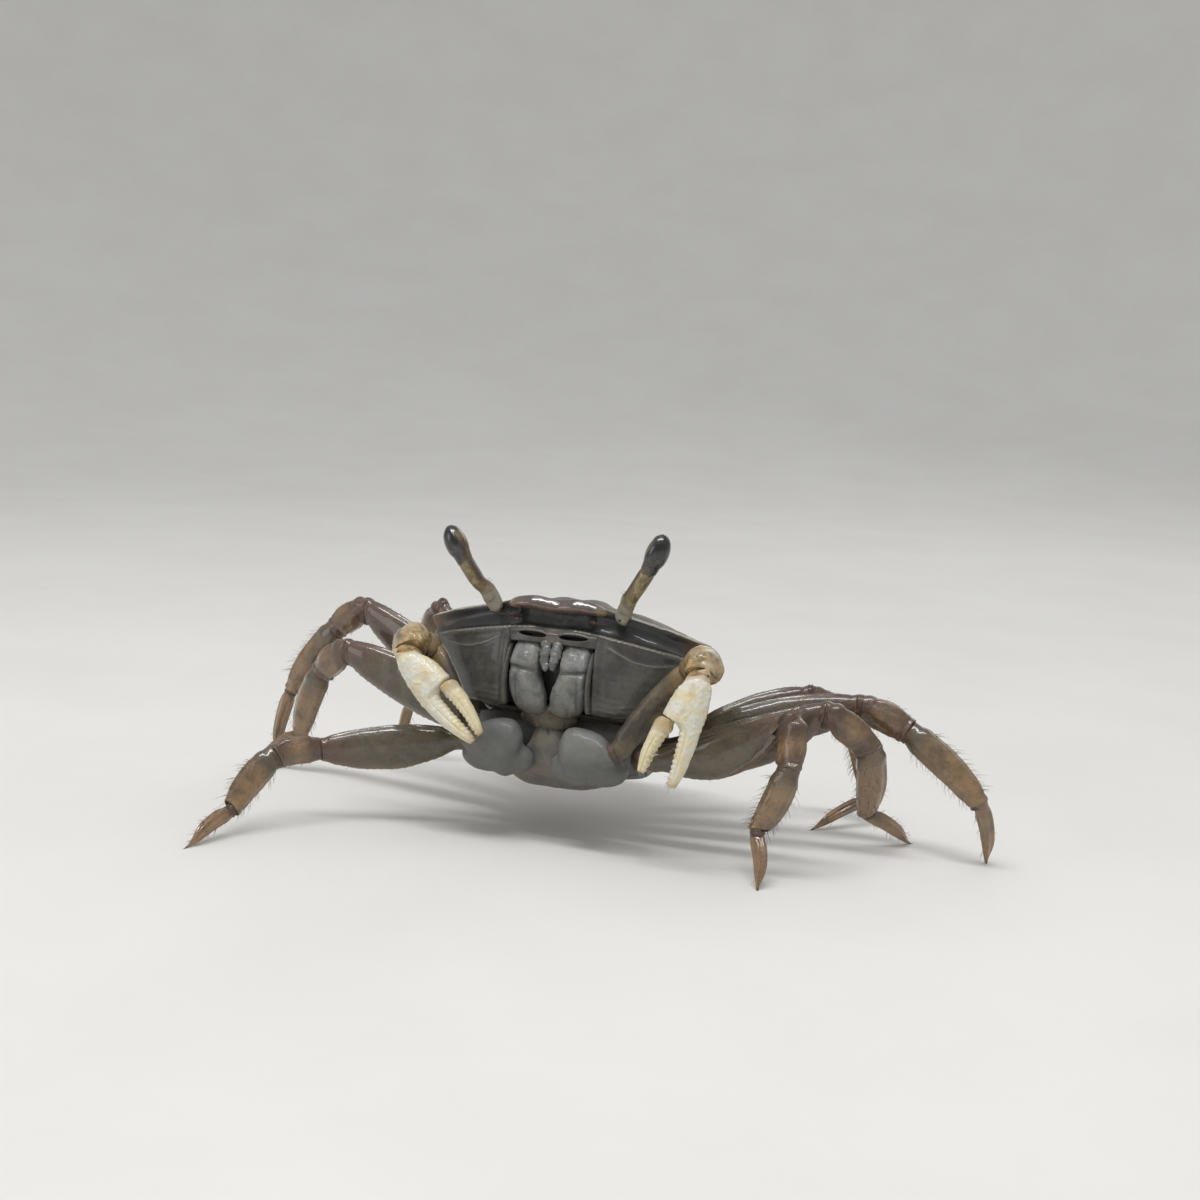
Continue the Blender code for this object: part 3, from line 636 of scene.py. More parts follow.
class Bristles:
    """Fine hairs gathered from many places and made as one joined mesh of bent, tapering spikes."""

    def __init__(self):
        self.random = np.random.default_rng(SEED)
        self.hairs = []

    def grow(self, piece, where, count, length, lean, lean_share=0.6):
        """Root hairs on a piece where a mask is above one half, leaning towards a direction."""
        spots = np.flatnonzero(where > 0.5)
        if len(spots) == 0:
            return
        places = points_of(piece)
        normals = normals_of(piece)
        for spot in self.random.choice(spots, size=min(count, len(spots)), replace=False):
            jitter = self.random.normal(0.0, 0.2, 3)
            way = unit(normals[spot] + lean * lean_share + jitter)
            reach = length * self.random.uniform(0.5, 1.15)
            shift = self.random.normal(0.0, 0.14 * MM, 3)
            root = places[spot] + shift - normals[spot] * (shift @ normals[spot] + 0.03 * MM)
            if root[2] + way[2] * reach * MM > 0.0001:
                self.hairs.append((root, way, lean, reach * MM))

    def make(self, name, radius):
        """Model one hair from a primitive cone, then copy it to every place."""
        bpy.ops.mesh.primitive_cone_add(vertices=4, radius1=1.0, radius2=0.25, depth=1.0,
                                        location=(0.0, 0.0, 0.5), end_fill_type="NGON")
        model = bpy.context.object
        with editing():
            bpy.ops.mesh.bisect(plane_co=(0.0, 0.0, 0.5), plane_no=(0.0, 0.0, 1.0))
        settle(model)
        shape = points_of(model)
        faces = [tuple(p.vertices) for p in model.data.polygons]
        bpy.data.objects.remove(model)
        places, all_faces = [], []
        for root, way, lean, length in self.hairs:
            side = unit(np.cross(way, (0.31, 0.55, 0.77)))
            other = np.cross(way, side)
            bend = unit(lean) * length * 0.22
            first = len(places) * len(shape)
            rise = shape[:, 2:3]
            body = root + rise * way * length + rise ** 2 * bend
            places.append(body + (shape[:, :1] * side + shape[:, 1:2] * other) * radius * MM)
            all_faces += [tuple(first + i for i in face) for face in faces]
        mesh = bpy.data.meshes.new(name)
        mesh.from_pydata(np.vstack(places).tolist(), [], all_faces)
        mesh.shade_smooth()
        self.lay_flat(mesh, shape, faces)
        piece = bpy.data.objects.new(name, mesh)
        bpy.context.scene.collection.objects.link(piece)
        return piece

    def lay_flat(self, mesh, shape, faces):
        """Give every hair a small patch of its own on a new map named OFBake."""
        across = 0.5 + 0.3 * shape[:, 0] + 0.15 * shape[:, 1]
        patch = np.column_stack((across, shape[:, 2]))[[i for face in faces for i in face]]
        sides = math.ceil(math.sqrt(len(self.hairs)))
        row, column = np.divmod(np.arange(len(self.hairs)), sides)
        corners = np.column_stack((column, row))[:, None] + 0.1 + 0.8 * patch[None]
        layer = mesh.uv_layers.new(name="OFBake")
        layer.data.foreach_set("uv", (corners / sides).astype(np.float32).ravel())


HAIR = Bristles()


def ball(name, place, radii, turn=None, segments=32, rings=20):
    """A primitive ball stretched to three radii in millimetres, at a place in metres."""
    bpy.ops.mesh.primitive_uv_sphere_add(segments=segments, ring_count=rings, radius=1.0)
    piece = bpy.context.object
    piece.name = name
    piece.matrix_world = (Matrix.Translation(place) @ (turn or Matrix.Identity(4))
                          @ Matrix.Diagonal((*[r * MM for r in radii], 1.0)))
    return settle(piece)


def body_ball(name, place, radii, **fineness):
    """A stretched ball that is tilted as the body is, at a place in millimetres of the body's own frame."""
    return ball(name, from_body(*place), radii, BODY_TILT, **fineness)


def cut_rod(name, cuts, vertices=16):
    """A rod of height and radius 1 round the origin, cut across into short lengths that can be bent."""
    bpy.ops.mesh.primitive_cylinder_add(vertices=vertices, radius=1.0, depth=1.0)
    rod = bpy.context.object
    rod.name = name
    with editing():
        for cut in np.linspace(-0.5, 0.5, cuts + 2)[1:-1]:
            bpy.ops.mesh.select_all(action="SELECT")
            bpy.ops.mesh.bisect(plane_co=(0.0, 0.0, cut), plane_no=(0.0, 0.0, 1.0))
    return rod


def joint_cushion(name, first, second, up, size=0.84, depth=0.5):
    """Soft skin that fills the gap between two pieces, with fine folds round it."""
    middle, across, points = meeting(first, second)
    up = unit(up - across * (up @ across))
    side = np.cross(across, up)
    wide, tall = (np.abs((points - middle) @ way).max() / MM * size for way in (side, up))
    piece = ball(name, middle, (wide, tall, depth), Matrix((side, up, across)).transposed().to_4x4())
    along = (points_of(piece) - middle) @ across / MM
    raise_surface(piece, 0.05 * np.cos(along * 2 * math.pi / SKIN_FOLD))
    return piece


class CrabSizes(bpy.types.PropertyGroup):
    """Sizes of the crab's fine forms."""

    wrinkle: FloatProperty(
        name="Wrinkle height", description="How far the fine lines stand off the face's walls",
        default=0.06 * MM, unit="LENGTH", subtype="DISTANCE")
    bristle: FloatProperty(
        name="Bristle length", description="Length of the longest leg bristles",
        default=0.85 * MM, unit="LENGTH", subtype="DISTANCE")
    bristle_radius: FloatProperty(
        name="Bristle radius", description="Radius of a leg bristle at its root",
        default=0.019 * MM, unit="LENGTH", subtype="DISTANCE")
    fineness: IntProperty(
        name="Fineness", description="Subdivision levels of the shell pieces", default=3, min=1, max=3)


def tint(name, description, default):
    return FloatVectorProperty(name=name, description=description, default=(*default, 1.0),
                               size=4, subtype="COLOR", min=0.0, max=1.0)


class CrabColours(bpy.types.PropertyGroup):
    """Colours of the crab's surfaces."""

    wall: tint("Face wall", "Slate walls beside the mouth", (0.088, 0.085, 0.074))
    wall_shade: tint("Face wall shade", "Darker patches of the walls", (0.052, 0.05, 0.044))
    band: tint("Eye band", "Near-black band below the front edge", (0.026, 0.027, 0.026))
    back: tint("Back", "Olive-brown back of the shell", (0.085, 0.07, 0.045))
    back_pale: tint("Back marbling", "Paler marbling on the back", (0.24, 0.205, 0.135))
    rim: tint("Rim", "Tan rim of the back", (0.32, 0.25, 0.13))
    corner: tint("Corners", "Reddish-brown shell corners", (0.2, 0.12, 0.07))
    lip: tint("Front lip", "Purplish-brown front lip", (0.12, 0.075, 0.062))
    line: tint("Fine lines", "Pale fine lines on the face", (0.3, 0.28, 0.22))
    plate: tint("Breast", "Blue-grey breast and claw roots", (0.165, 0.166, 0.157))
    mouth: tint("Mouth plates", "Blue-grey mouth plates", (0.2, 0.203, 0.192))
    plate_shade: tint("Plate shade", "Darker patches of the mouth plates", (0.115, 0.116, 0.11))
    tail: tint("Tail", "Brownish folded tail", (0.175, 0.15, 0.115))
    leg: tint("Leg root", "Olive-brown first leg pieces", (0.124, 0.1, 0.062))
    leg_shade: tint("Leg shade", "Dark patches of the legs", (0.055, 0.045, 0.034))
    knee: tint("Knee", "Maroon knees", (0.118, 0.068, 0.046))
    shank: tint("Shank", "Orange-brown outer leg pieces", (0.262, 0.164, 0.084))
    toe: tint("Toe", "Horn-brown leg tips", (0.3, 0.175, 0.085))
    amber: tint("Amber", "Amber wrists of the claws", (0.46, 0.31, 0.13))
    palm: tint("Palm", "Bluish-white palms", (0.72, 0.71, 0.63))
    finger: tint("Finger", "Cream-yellow fingers", (0.72, 0.63, 0.4))
    stalk: tint("Eyestalk", "Tan eyestalks", (0.135, 0.094, 0.034))
    streak: tint("Streak", "Dark streak of the eyestalks", (0.045, 0.024, 0.016))
    cornea: tint("Cornea", "Grey-black corneas", (0.007, 0.008, 0.008))
    skin: tint("Joint skin", "Soft reddish joint skin", (0.12, 0.07, 0.045))
    floor: tint("Floor", "Pale floor", (0.76, 0.75, 0.72))


def colours():
    return bpy.context.scene.crab_colours


def sizes():
    return bpy.context.scene.crab_sizes


def face_levels(place):
    """How far down the face each point lies, 0 at the margin and 1 at the foot."""
    margin = np.interp(np.abs(place[:, 0]), MARGIN_X, MARGIN_Z)
    return (margin - place[:, 2]) / (margin - FACE_FOOT_Z)


def fold_level(side):
    """The height of the line that runs below the ridge: a drop outwards, with a sag on the way."""
    share = np.clip((side - FOLD_START) / (FOLD_END - FOLD_START), 0.0, 1.0)
    return FOLD_Z - FOLD_DROP * share - FOLD_SAG * np.sin(share * math.pi)


class CRAB_OT_shell(bpy.types.Operator):
    """Model the shell: its back, the front lip, the eye band, the face walls and the mouth's frame"""

    bl_idname = "crab.shell"
    bl_label = "Shell"

    def execute(self, context):
        piece = shell_of("carapace", "shell")
        place = to_body(points_of(piece))
        facing = normals_of(piece) @ BODY_TURN
        x, y, z = place.T
        side = np.abs(x)
        down = face_levels(place)
        ahead = slope(-facing[:, 1], 0.1, 0.5) * slope(-y, 2.0, 4.5)
        wall = slope(down, 0.27, 0.31) * slope(-facing[:, 2], -0.75, -0.4)
        mouth = slope(side, MOUTH_HALF_WIDTH + 0.2, MOUTH_HALF_WIDTH - 0.1)
        # Painted shade: the recess behind the mouth plates is painted in the eye band's near-black, for the
        # shade inside it
        hollow = mouth * slope(y, -7.6, -7.1) * slope(-z, 0.9, 1.2) * slope(y, -4.0, -5.0)
        outside = ahead * wall * (1 - mouth)
        lip = slope(side, 4.5, 3.9) * slope(down, 0.075, 0.03) * slope(-y, 6.3, 7.3)
        top = np.maximum(slope(down, 0.03, -0.02), slope(y, -5.5, -4.0) * slope(facing[:, 2], 0.1, 0.45))

        height = lip * (0.08 * bell(side, 1.7, 1.3) - 0.04 * bell(x, 0.0, 0.3))
        height = height + self.face_relief(place, side, down, ahead, outside)
        height += top * self.back_relief(place, side) + 0.02 * rough(place, 0.9, 4.0) * (1 - hollow)
        raise_surface(piece, height)

        wall_height = np.interp(side, MARGIN_X, MARGIN_Z) - FACE_FOOT_Z
        behind = y - np.interp(side, MARGIN_X, MARGIN_Y)
        edge = np.maximum(slope(behind, 0.8, 0.35), slope(side, 10.6, 11.4))
        fold = fold_level(side)
        lens = slope(z, fold, fold + 0.3) * slope(down, RIDGE_DOWN - 0.01, RIDGE_DOWN + 0.03)
        grooves, _ = self.regions(place, side)
        paint(piece,
              ridge_gap=0.5 + (down - RIDGE_DOWN) * wall_height / LINE_REACH,
              fold_gap=0.5 + (z - fold) / LINE_REACH,
              rim_gap=0.5 + (down - RIM_DOWN) * wall_height / LINE_REACH,
              ridge_reach=ahead * slope(side, 11.0, 10.0),
              fold_reach=ahead * slope(side, FOLD_START, 4.8) * slope(side, 10.3, 9.0),
              rim_reach=edge * slope(side, 4.4, 5.2) * slope(-y, 0.0, 3.0) * slope(side, 11.8, 10.8),
              band=slope(down, 0.012, 0.035) * slope(down, RIDGE_DOWN + 0.005, RIDGE_DOWN - 0.02) * ahead,
              lens=lens * slope(side, 4.4, 5.2) * ahead,
              back=top,
              rim=edge * bell(down, -0.012, 0.022) * (1 - 0.9 * lip) * slope(side, 3.6, 4.8),
              rear=slope(y, -1.0, 3.0) * (1 - top),
              groove=top * grooves,
              pale_back=top * (0.45 + 0.55 * slope(side, 4.0, 9.0)) * (1 - grooves),
              corner=bell(side, 12.0, 1.6) * bell(y, -4.8, 2.6) * slope(down, 0.3, 0.1),
              lip=lip,
              hollow=hollow,
              line=self.soft_lines)
        c = colours()
        # The hollow layer is painted shade inside the recess behind the mouth plates
        layers = (("back", c.back, 1.0), ("rear", c.leg, 0.7), ("band", c.band, 0.97),
                  ("lens", c.band, 0.3), ("corner", c.corner, 0.8), ("rim", c.rim, 0.9),
                  ("lip", c.lip, 0.8), ("line", c.line, 0.35), ("groove", c.leg_shade, 0.7),
                  ("hollow", c.band, 0.8))
        lines = (("ridge_gap", "ridge_reach", c.line, 0.11, 0.55),
                 ("fold_gap", "fold_reach", c.line, 0.09, 0.4), ("rim_gap", "rim_reach", c.palm, 0.1, 0.6))
        marks = (("back", c.leg_shade, 1.7, 0.5, 0.55), ("pale_back", c.back_pale, 0.75, 0.53, 0.6),
                 ("rear", c.back_pale, 0.8, 0.55, 0.4))
        look = crust("wet_slate_shell", c.wall, c.wall_shade, layers, roughness=0.36, coat=0.35, grain=0.35,
                     grain_depth=0.012, patch=2.4, lines=lines, marks=marks, shine="lip")
        keep(piece, look, "shell", "carapace")
        self.lip()
        return {"FINISHED"}

    def lip(self):
        """The glossy bar along the front edge between the eyestalks, which leans back and has two lobes."""
        roll = cut_rod("front_lip", 60, 24)
        shape = points_of(roll)
        x = shape[:, 2] * LIP_LENGTH
        spread = np.linspace(-0.6, 0.6, 7)
        ahead, level = (np.mean([np.interp(np.abs(x + shift), MARGIN_X, margin) for shift in spread], 0)
                        for margin in (MARGIN_Y, MARGIN_Z))
        lobes = bell(np.abs(x), LOBE_X, LOBE_WIDTH)
        taper = np.sqrt(np.clip(1 - np.abs(2 * shape[:, 2]) ** 6, 0.0, 1.0)) * 0.9 + 0.1
        squared = np.sign(shape) * np.abs(shape) ** 0.65
        out = squared[:, 1] * (LIP_DEPTH + 0.08 * lobes) * taper
        rise = squared[:, 0] * (LIP_HEIGHT + 0.06 * lobes) * taper
        tilt = math.radians(LIP_TILT)
        place = np.column_stack((x, ahead + 0.2 - math.cos(tilt) * out + math.sin(tilt) * rise,
                                 level - 0.28 + math.sin(tilt) * out + math.cos(tilt) * rise))
        set_in_body(roll, place)
        only(roll)
        with editing():
            bpy.ops.mesh.normals_make_consistent(inside=False)
        rounded(roll, 2)
        place = to_body(points_of(roll))
        raise_surface(roll, 0.03 * rough(place, (1.1, 0.8, 0.8), 3.0) + 0.008 * rough(place, 0.3, 9.0))
        # Painted shade: the lip's downward-facing underside is painted in the darker joint-skin tone, as
        # shade under the lip
        paint(roll,
              under=slope((normals_of(roll) @ BODY_TURN)[:, 2], -0.2, -0.7),
              ends=slope(np.abs(place[:, 0]), 2.9, 3.9))
        c = colours()
        # The under layer is painted shade on the lip's underside
        look = crust("glossy_lip", c.lip, c.leg_shade, (("under", c.skin, 0.8), ("ends", c.rim, 0.5)),
                     roughness=0.14, coat=1.0, gloss=0.7, grain=0.25, grain_depth=0.004, patch=0.8)
        keep(roll, look, "shell")

    def face_relief(self, place, side, down, ahead, outside):
        """The beaded ridge, the fine lines under it, the mouth's frame and the wrinkled walls."""
        x, y, z = place.T
        beads = 0.5 + 0.5 * np.cos(side * 2 * math.pi / BEAD_STEP)
        ridge = bell(down, RIDGE_DOWN, 0.018) * ahead * slope(side, 11.2, 10.0)
        height = (0.05 + 0.05 * beads) * ridge
        fold = bell(z, fold_level(side), 0.12) * ahead
        height += 0.07 * fold * slope(side, FOLD_START, 4.9) * slope(side, 10.4, 9.2)
        frame_edge = bell(side, MOUTH_HALF_WIDTH + 0.22, 0.14) * ahead * slope(-z, 1.0, 1.6)
        height += 0.12 * frame_edge - 0.1 * bell(side, MOUTH_HALF_WIDTH + 0.7, 0.18) * outside
        middle_band = slope(side, 4.8, 3.8) * bell(down, 0.14, 0.09) * ahead
        height += middle_band * (0.1 * rough(place, (1.3, 0.9, 0.7), 9.0) + 0.05 * rough(place, 0.4, 15.0))
        flat = np.column_stack((x, y * 0.5, z))
        # Thin wandering lines, where stretched noise passes through zero
        lines = bell(rough(flat, (5.2, 6.0, 1.1), 3.0), 0.0, 0.05) * outside * slope(z, -2.6, -3.4)
        low_lines = waves(z + 0.3 * rough(flat, 2.5, 5.0) - 0.05 * side, BEAD_STEP) ** 3
        low_lines = low_lines * slope(z, -5.4, -5.9) * outside
        low_lines = low_lines * slope(side, 3.8, 4.4) * slope(side, 8.0, 6.5)
        self.soft_lines = 0.22 * lines + 0.8 * low_lines
        return height + sizes().wrinkle / MM * (0.6 * lines + 0.8 * low_lines)

    def regions(self, place, side):
        """The grooves between the back's regions, as shares, and the regions' swellings in millimetres."""
        x, y, _ = place.T
        bend = side + 0.35 * rough(place, 2.2, 31.0)
        beside = bell(bend, 3.1 + 0.35 * np.sin(y * 0.9), 0.46) * slope(y, -3.6, -1.8) * slope(y, 6.2, 3.6)
        across = bell(y + 0.3 * rough(place, 2.4, 17.0), 1.3 - 0.12 * side, 0.42) * slope(side, 3.6, 2.4)
        slanted = bell(y + 2.6 + 0.42 * (bend - 3.1), 0.0, 0.42)
        slanted = slanted * slope(side, 2.6, 3.6) * slope(side, 8.6, 5.8)
        notch = bell(x, 0.0, 0.25) * slope(y, -4.2, -5.0)
        swellings = sum(height * bell(side, out, width) * bell(y, back, length)
                        for height, out, width, back, length in BACK_SWELLINGS)
        return np.clip(beside + across + slanted + notch, 0.0, 1.0), swellings

    def back_relief(self, place, side):
        """The furrows and swellings of the back, and the pearled side margins."""
        grooves, swellings = self.regions(place, side)
        pearls = np.maximum(0.0, rough(place, 0.42, 21.0)) * bell(face_levels(place), 0.0, 0.05)
        grains = np.maximum(0.0, rough(place, 0.5, 12.0)) * slope(side, 4.0, 8.0)
        margin = 0.1 * pearls * slope(side, 8.5, 10.5)
        return swellings - 0.13 * grooves + 0.05 * rough(place, 2.2, 8.0) + 0.05 * grains + margin


class CRAB_OT_breast(bpy.types.Operator):
    """Model the breast plate with the sutures between its segments, and the soft fold above it"""

    bl_idname = "crab.breast"
    bl_label = "Breast"

    def execute(self, context):
        piece = shell_of("sternum", "breast", crease=0.5)
        place = to_body(points_of(piece))
        x, y, z = place.T
        side = np.abs(x)
        sutures = sum(bell(y + 0.12 * side, station, 0.16) for station in SUTURES) * slope(side, 2.0, 3.6)
        raise_surface(piece, -0.16 * sutures + 0.04 * rough(place, 1.8, 2.0))
        # Painted shade: the dark share darkens the breast's top front, which lies under the face walls and
        # behind the mouth plates
        paint(piece,
              line=sutures,
              brown=slope(z, -9.5, -12.0) * bell(x, 1.4, 2.6),
              dark=slope(z, -8.7, -7.9) * slope(-y, 4.0, 4.8))
        c = colours()
        # The dark layer is painted shade under the face walls
        look = crust("satin_breast", c.plate, c.plate_shade,
                     (("brown", c.tail, 0.6), ("dark", c.leg_shade, 0.7), ("line", c.wall_shade, 0.8)),
                     roughness=0.45, coat=0.15, patch=2.2, flecks=0.12)
        keep(piece, look, "breast", "sternum")

        # The soft fold of skin under the face walls is coloured dark as painted shade for the gap under the
        # walls
        fold = body_ball("body_fold", *BODY_FOLD, segments=96, rings=24)
        inner = to_body(points_of(fold))
        raise_surface(fold, 0.05 * rough(inner, 1.2, 1.0) + 0.04 * np.sin(inner[:, 2] * 2 * math.pi / 0.4))
        keep(fold, crust("painted_shade_fold", c.leg_shade, c.wall_shade, (), roughness=0.5, coat=0.1), "shell")
        return {"FINISHED"}


class CRAB_OT_tail(bpy.types.Operator):
    """Model the folded tail, with greyer edges and a short crease at the top of its front"""

    bl_idname = "crab.tail"
    bl_label = "Tail"

    def execute(self, context):
        piece = shell_of("pleon", "tail", crease=0.3)
        place = to_body(points_of(piece))
        x, y, z = place.T
        front = slope(-y, 5.2, 5.8)
        place[:, 2] += 0.35 * front * slope(z, -9.8, -8.6) + 0.5 * (1 - front) * slope(np.abs(x), 2.4, 4.6)
        set_in_body(piece, place)
        crease = bell(x + 0.35 * (z + 8.6), 0.05, 0.12) * bell(z, -8.55, 0.4) * front
        keel = bell(x, 0.0, 0.25) * (1 - front)
        raise_surface(piece, 0.05 * rough(place, (1.6, 0.8, 0.8), 2.0) + 0.05 * keel - 0.12 * crease)
        paint(piece, edge=slope(np.abs(x), 1.1, 1.4) * front, crease=crease)
        c = colours()
        look = crust("brown_tail", c.tail, c.plate_shade,
                     (("edge", c.plate, 0.8), ("crease", c.leg_shade, 0.8)),
                     roughness=0.42, coat=0.2, patch=1.3, grain=0.22, grain_depth=0.02, flecks=0.15)
        keep(piece, look, "tail", "pleon")
        return {"FINISHED"}


class CRAB_OT_mouth(bpy.types.Operator):
    """Model the mouth: its plates and their foot, the slit bar, the rods beside it and the palps inside"""

    bl_idname = "crab.mouth"
    bl_label = "Mouth"

    def execute(self, context):
        c = colours()
        # In the plates' look, edge is painted shade along the plates' edges beside the gaps round them
        layers = (("pale", c.line, 0.35), ("edge", c.wall_shade, 0.6), ("crease", c.wall_shade, 0.6),
                  ("foot", c.tail, 0.6))
        look = crust("blue_grey_plate", c.mouth, c.plate_shade, layers, roughness=0.4, coat=0.3,
                     grain=0.2, grain_depth=0.022, patch=1.1, flecks=0.2)
        # In the bar's look, slit is painted shade: the slits' insides in near-black
        frame_look = crust("mouth_bar_shell", c.wall, c.wall_shade,
                           (("pale", c.tail, 0.6), ("slit", c.streak, 0.95)),
                           roughness=0.4, coat=0.3, patch=1.0)
        palp_look = crust("glossy_palp", c.mouth, c.plate_shade, (("knob", c.wall_shade, 0.8),),
                          roughness=0.22, coat=0.9, grain=0.16, grain_depth=0.014, patch=0.7)
        for name, sign in SIDES.items():
            self.plate(name, sign, look)
            self.rod(name, sign, frame_look)
            self.palp(name, sign, palp_look)
        self.bar(frame_look)
        self.foot()
        return {"FINISHED"}

    def foot(self):
        """The brown skin that joins the feet of the mouth plates to the tail's rounded top."""
        c = colours()
        piece = body_ball("mouth_foot", *MOUTH_FOOT, segments=64, rings=40)
        place = to_body(points_of(piece))
        folds = np.sin((place[:, 0] + 0.2 * rough(place, 1.2, 2.0)) * 2 * math.pi / 0.6)
        raise_surface(piece, 0.02 * folds + 0.05 * rough(place, 0.9, 6.0))
        # Painted shade: the dark share and layer make the foot darker towards its sides, which lie behind
        # the mouth plates
        paint(piece, dark=slope(np.abs(place[:, 0]), 0.4, 1.8))
        look = crust("brown_mouth_foot", c.leg, c.leg_shade, (("dark", c.leg_shade, 0.8),),
                     roughness=0.42, coat=0.25)
        keep(piece, look, "mouth")

    def plate(self, name, sign, look):
        node = "maxilliped_" + name
        piece = shell_of(node, "mouth_plate_" + name, crease=0.35)
        place = to_body(points_of(piece))
        place[:, 0] += sign * 0.2 * slope(place[:, 0] * sign, 1.8, 3.0)
        place[:, 2] += 0.3 * slope(place[:, 2], -3.0, -1.7) - 0.1 * slope(place[:, 2], -6.0, -7.2)
        set_in_body(piece, place)
        x, _, z = place.T
        side = x * sign
        front = slope(-(normals_of(piece) @ BODY_TURN)[:, 1], 0.3, 0.7)
        groove = bell(side, 2.6, 0.12) * slope(z, -4.0, -4.6) * slope(z, -7.0, -6.5)
        cross = bell(z, -3.85 + 0.12 * (side - 1.8), 0.1)
        knobs = np.maximum(0.0, rough(place, 0.36, 6.0)) * slope(z, -3.4, -2.6)
        height = -0.1 * groove - 0.09 * cross + 0.09 * knobs + 0.04 * rough(place, 0.8, 2.0)
        raise_surface(piece, height * front)
        # Painted shade: edge darkens the plates' lower inner edges and their outer edges, beside the gaps
        paint(piece,
              crease=(0.7 * groove + 0.9 * cross) * front,
              edge=slope(side, 1.0, 0.7) * slope(z, -5.0, -4.2) + slope(side, 3.2, 3.4),
              foot=slope(z, -5.9, -7.2),
              pale=bell(side, 1.4, 0.5) * bell(z, -3.0, 0.8) + bell(side, 1.7, 0.5) * bell(z, -4.7, 0.6))
        keep(piece, look, "mouth", node)

    def rod(self, name, sign, look):
        """The slender outer branch that lies in the groove beside a mouth plate."""
        rod = cut_rod("mouth_rod_" + name, 9)
        shape = points_of(rod)
        rise = shape[:, 2] + 0.5
        width = (0.24 - 0.07 * rise) * (1 - 0.5 * bell(rise, 1.0, 0.06))
        x, y, z = ROD_FOOT
        set_in_body(rod, np.column_stack((sign * (x - ROD_LEAN * rise) + shape[:, 0] * width,
                                          y - ROD_BOW * np.sin(math.pi * rise) + shape[:, 1] * 0.35,
                                          z + ROD_RISE * rise)))
        rounded(rod, 1, crease=0.3)
        paint(rod, pale=0.2)
        keep(rod, look, "mouth")

    def palp(self, name, sign, look):
        """The short glossy joints that hang in the gap from the top inner corner of a mouth plate."""
        knobs = [body_ball("knob", (sign * x, y, z), (size, size * 0.9, size * 1.05), segments=20, rings=14)
                 for x, y, z, size in PALP_KNOBS]
        piece = melt(knobs, "mouth_palp_" + name, PALP_CELL, 0.6, 8)
        place = to_body(points_of(piece))
        joint = bell(place[:, 2] + 0.3 * sign * place[:, 0], -2.62, 0.16)
        height = 0.05 + 0.13 * rough(place, 0.62, 3.0) + 0.04 * rough(place, 0.2, 5.0) - 0.07 * joint
        raise_surface(piece, height)
        paint(piece, knob=0.5 * joint - 0.9 * rough(place, 0.5, 1.0) + 0.7 * slope(place[:, 2], -2.8, -3.7))
        keep(piece, look, "mouth")

    def bar(self, look):
        """The bar across the top of the mouth, with a slit on each side of its middle pillar, painted
        near-black inside as shade.
        """
        bpy.ops.mesh.primitive_cube_add(size=1.0)
        bar = bpy.context.object
        bar.name = "mouth_bar"
        with editing():
            bpy.ops.mesh.subdivide(number_cuts=55)
        x, y, z = points_of(bar).T
        front = slope(y, -0.3, -0.48)
        curve = 1 - (2 * x) ** 2
        place = np.column_stack((x * BAR_WIDTH, BAR_Y + y * BAR_DEPTH - BAR_BULGE * front * curve,
                                 BAR_Z + z * (BAR_HEIGHT + 0.1 * curve) + 0.12 * curve))
        side = np.abs(place[:, 0])
        share = np.clip((side - SLIT_START) / SLIT_LENGTH, 0.0, 1.0)
        middle = SLIT_Z + 0.05 * share
        half = SLIT_HALF_HEIGHT * np.sqrt(4 * share * (1 - share)) * (1 - 0.2 * share)
        inside = slope(np.abs(place[:, 2] - middle), half + 0.05, half - 0.05) * front * (half > 0.02)
        rim = bell(place[:, 2] - middle, half + 0.12, 0.08) * front
        place[:, 1] += 0.9 * inside - 0.07 * rim
        place[:, 1] += 0.05 * rough(place, 0.7, 4.0) * front + 0.25 * slope(np.abs(z), 0.42, 0.5) * front
        set_in_body(bar, place)
        settle(bar)
        # Painted shade: slit paints the insides of the openings near-black
        paint(bar, slit=inside, pale=bell(side, 0.0, 0.5) + 0.8 * rim)
        keep(bar, look, "mouth")


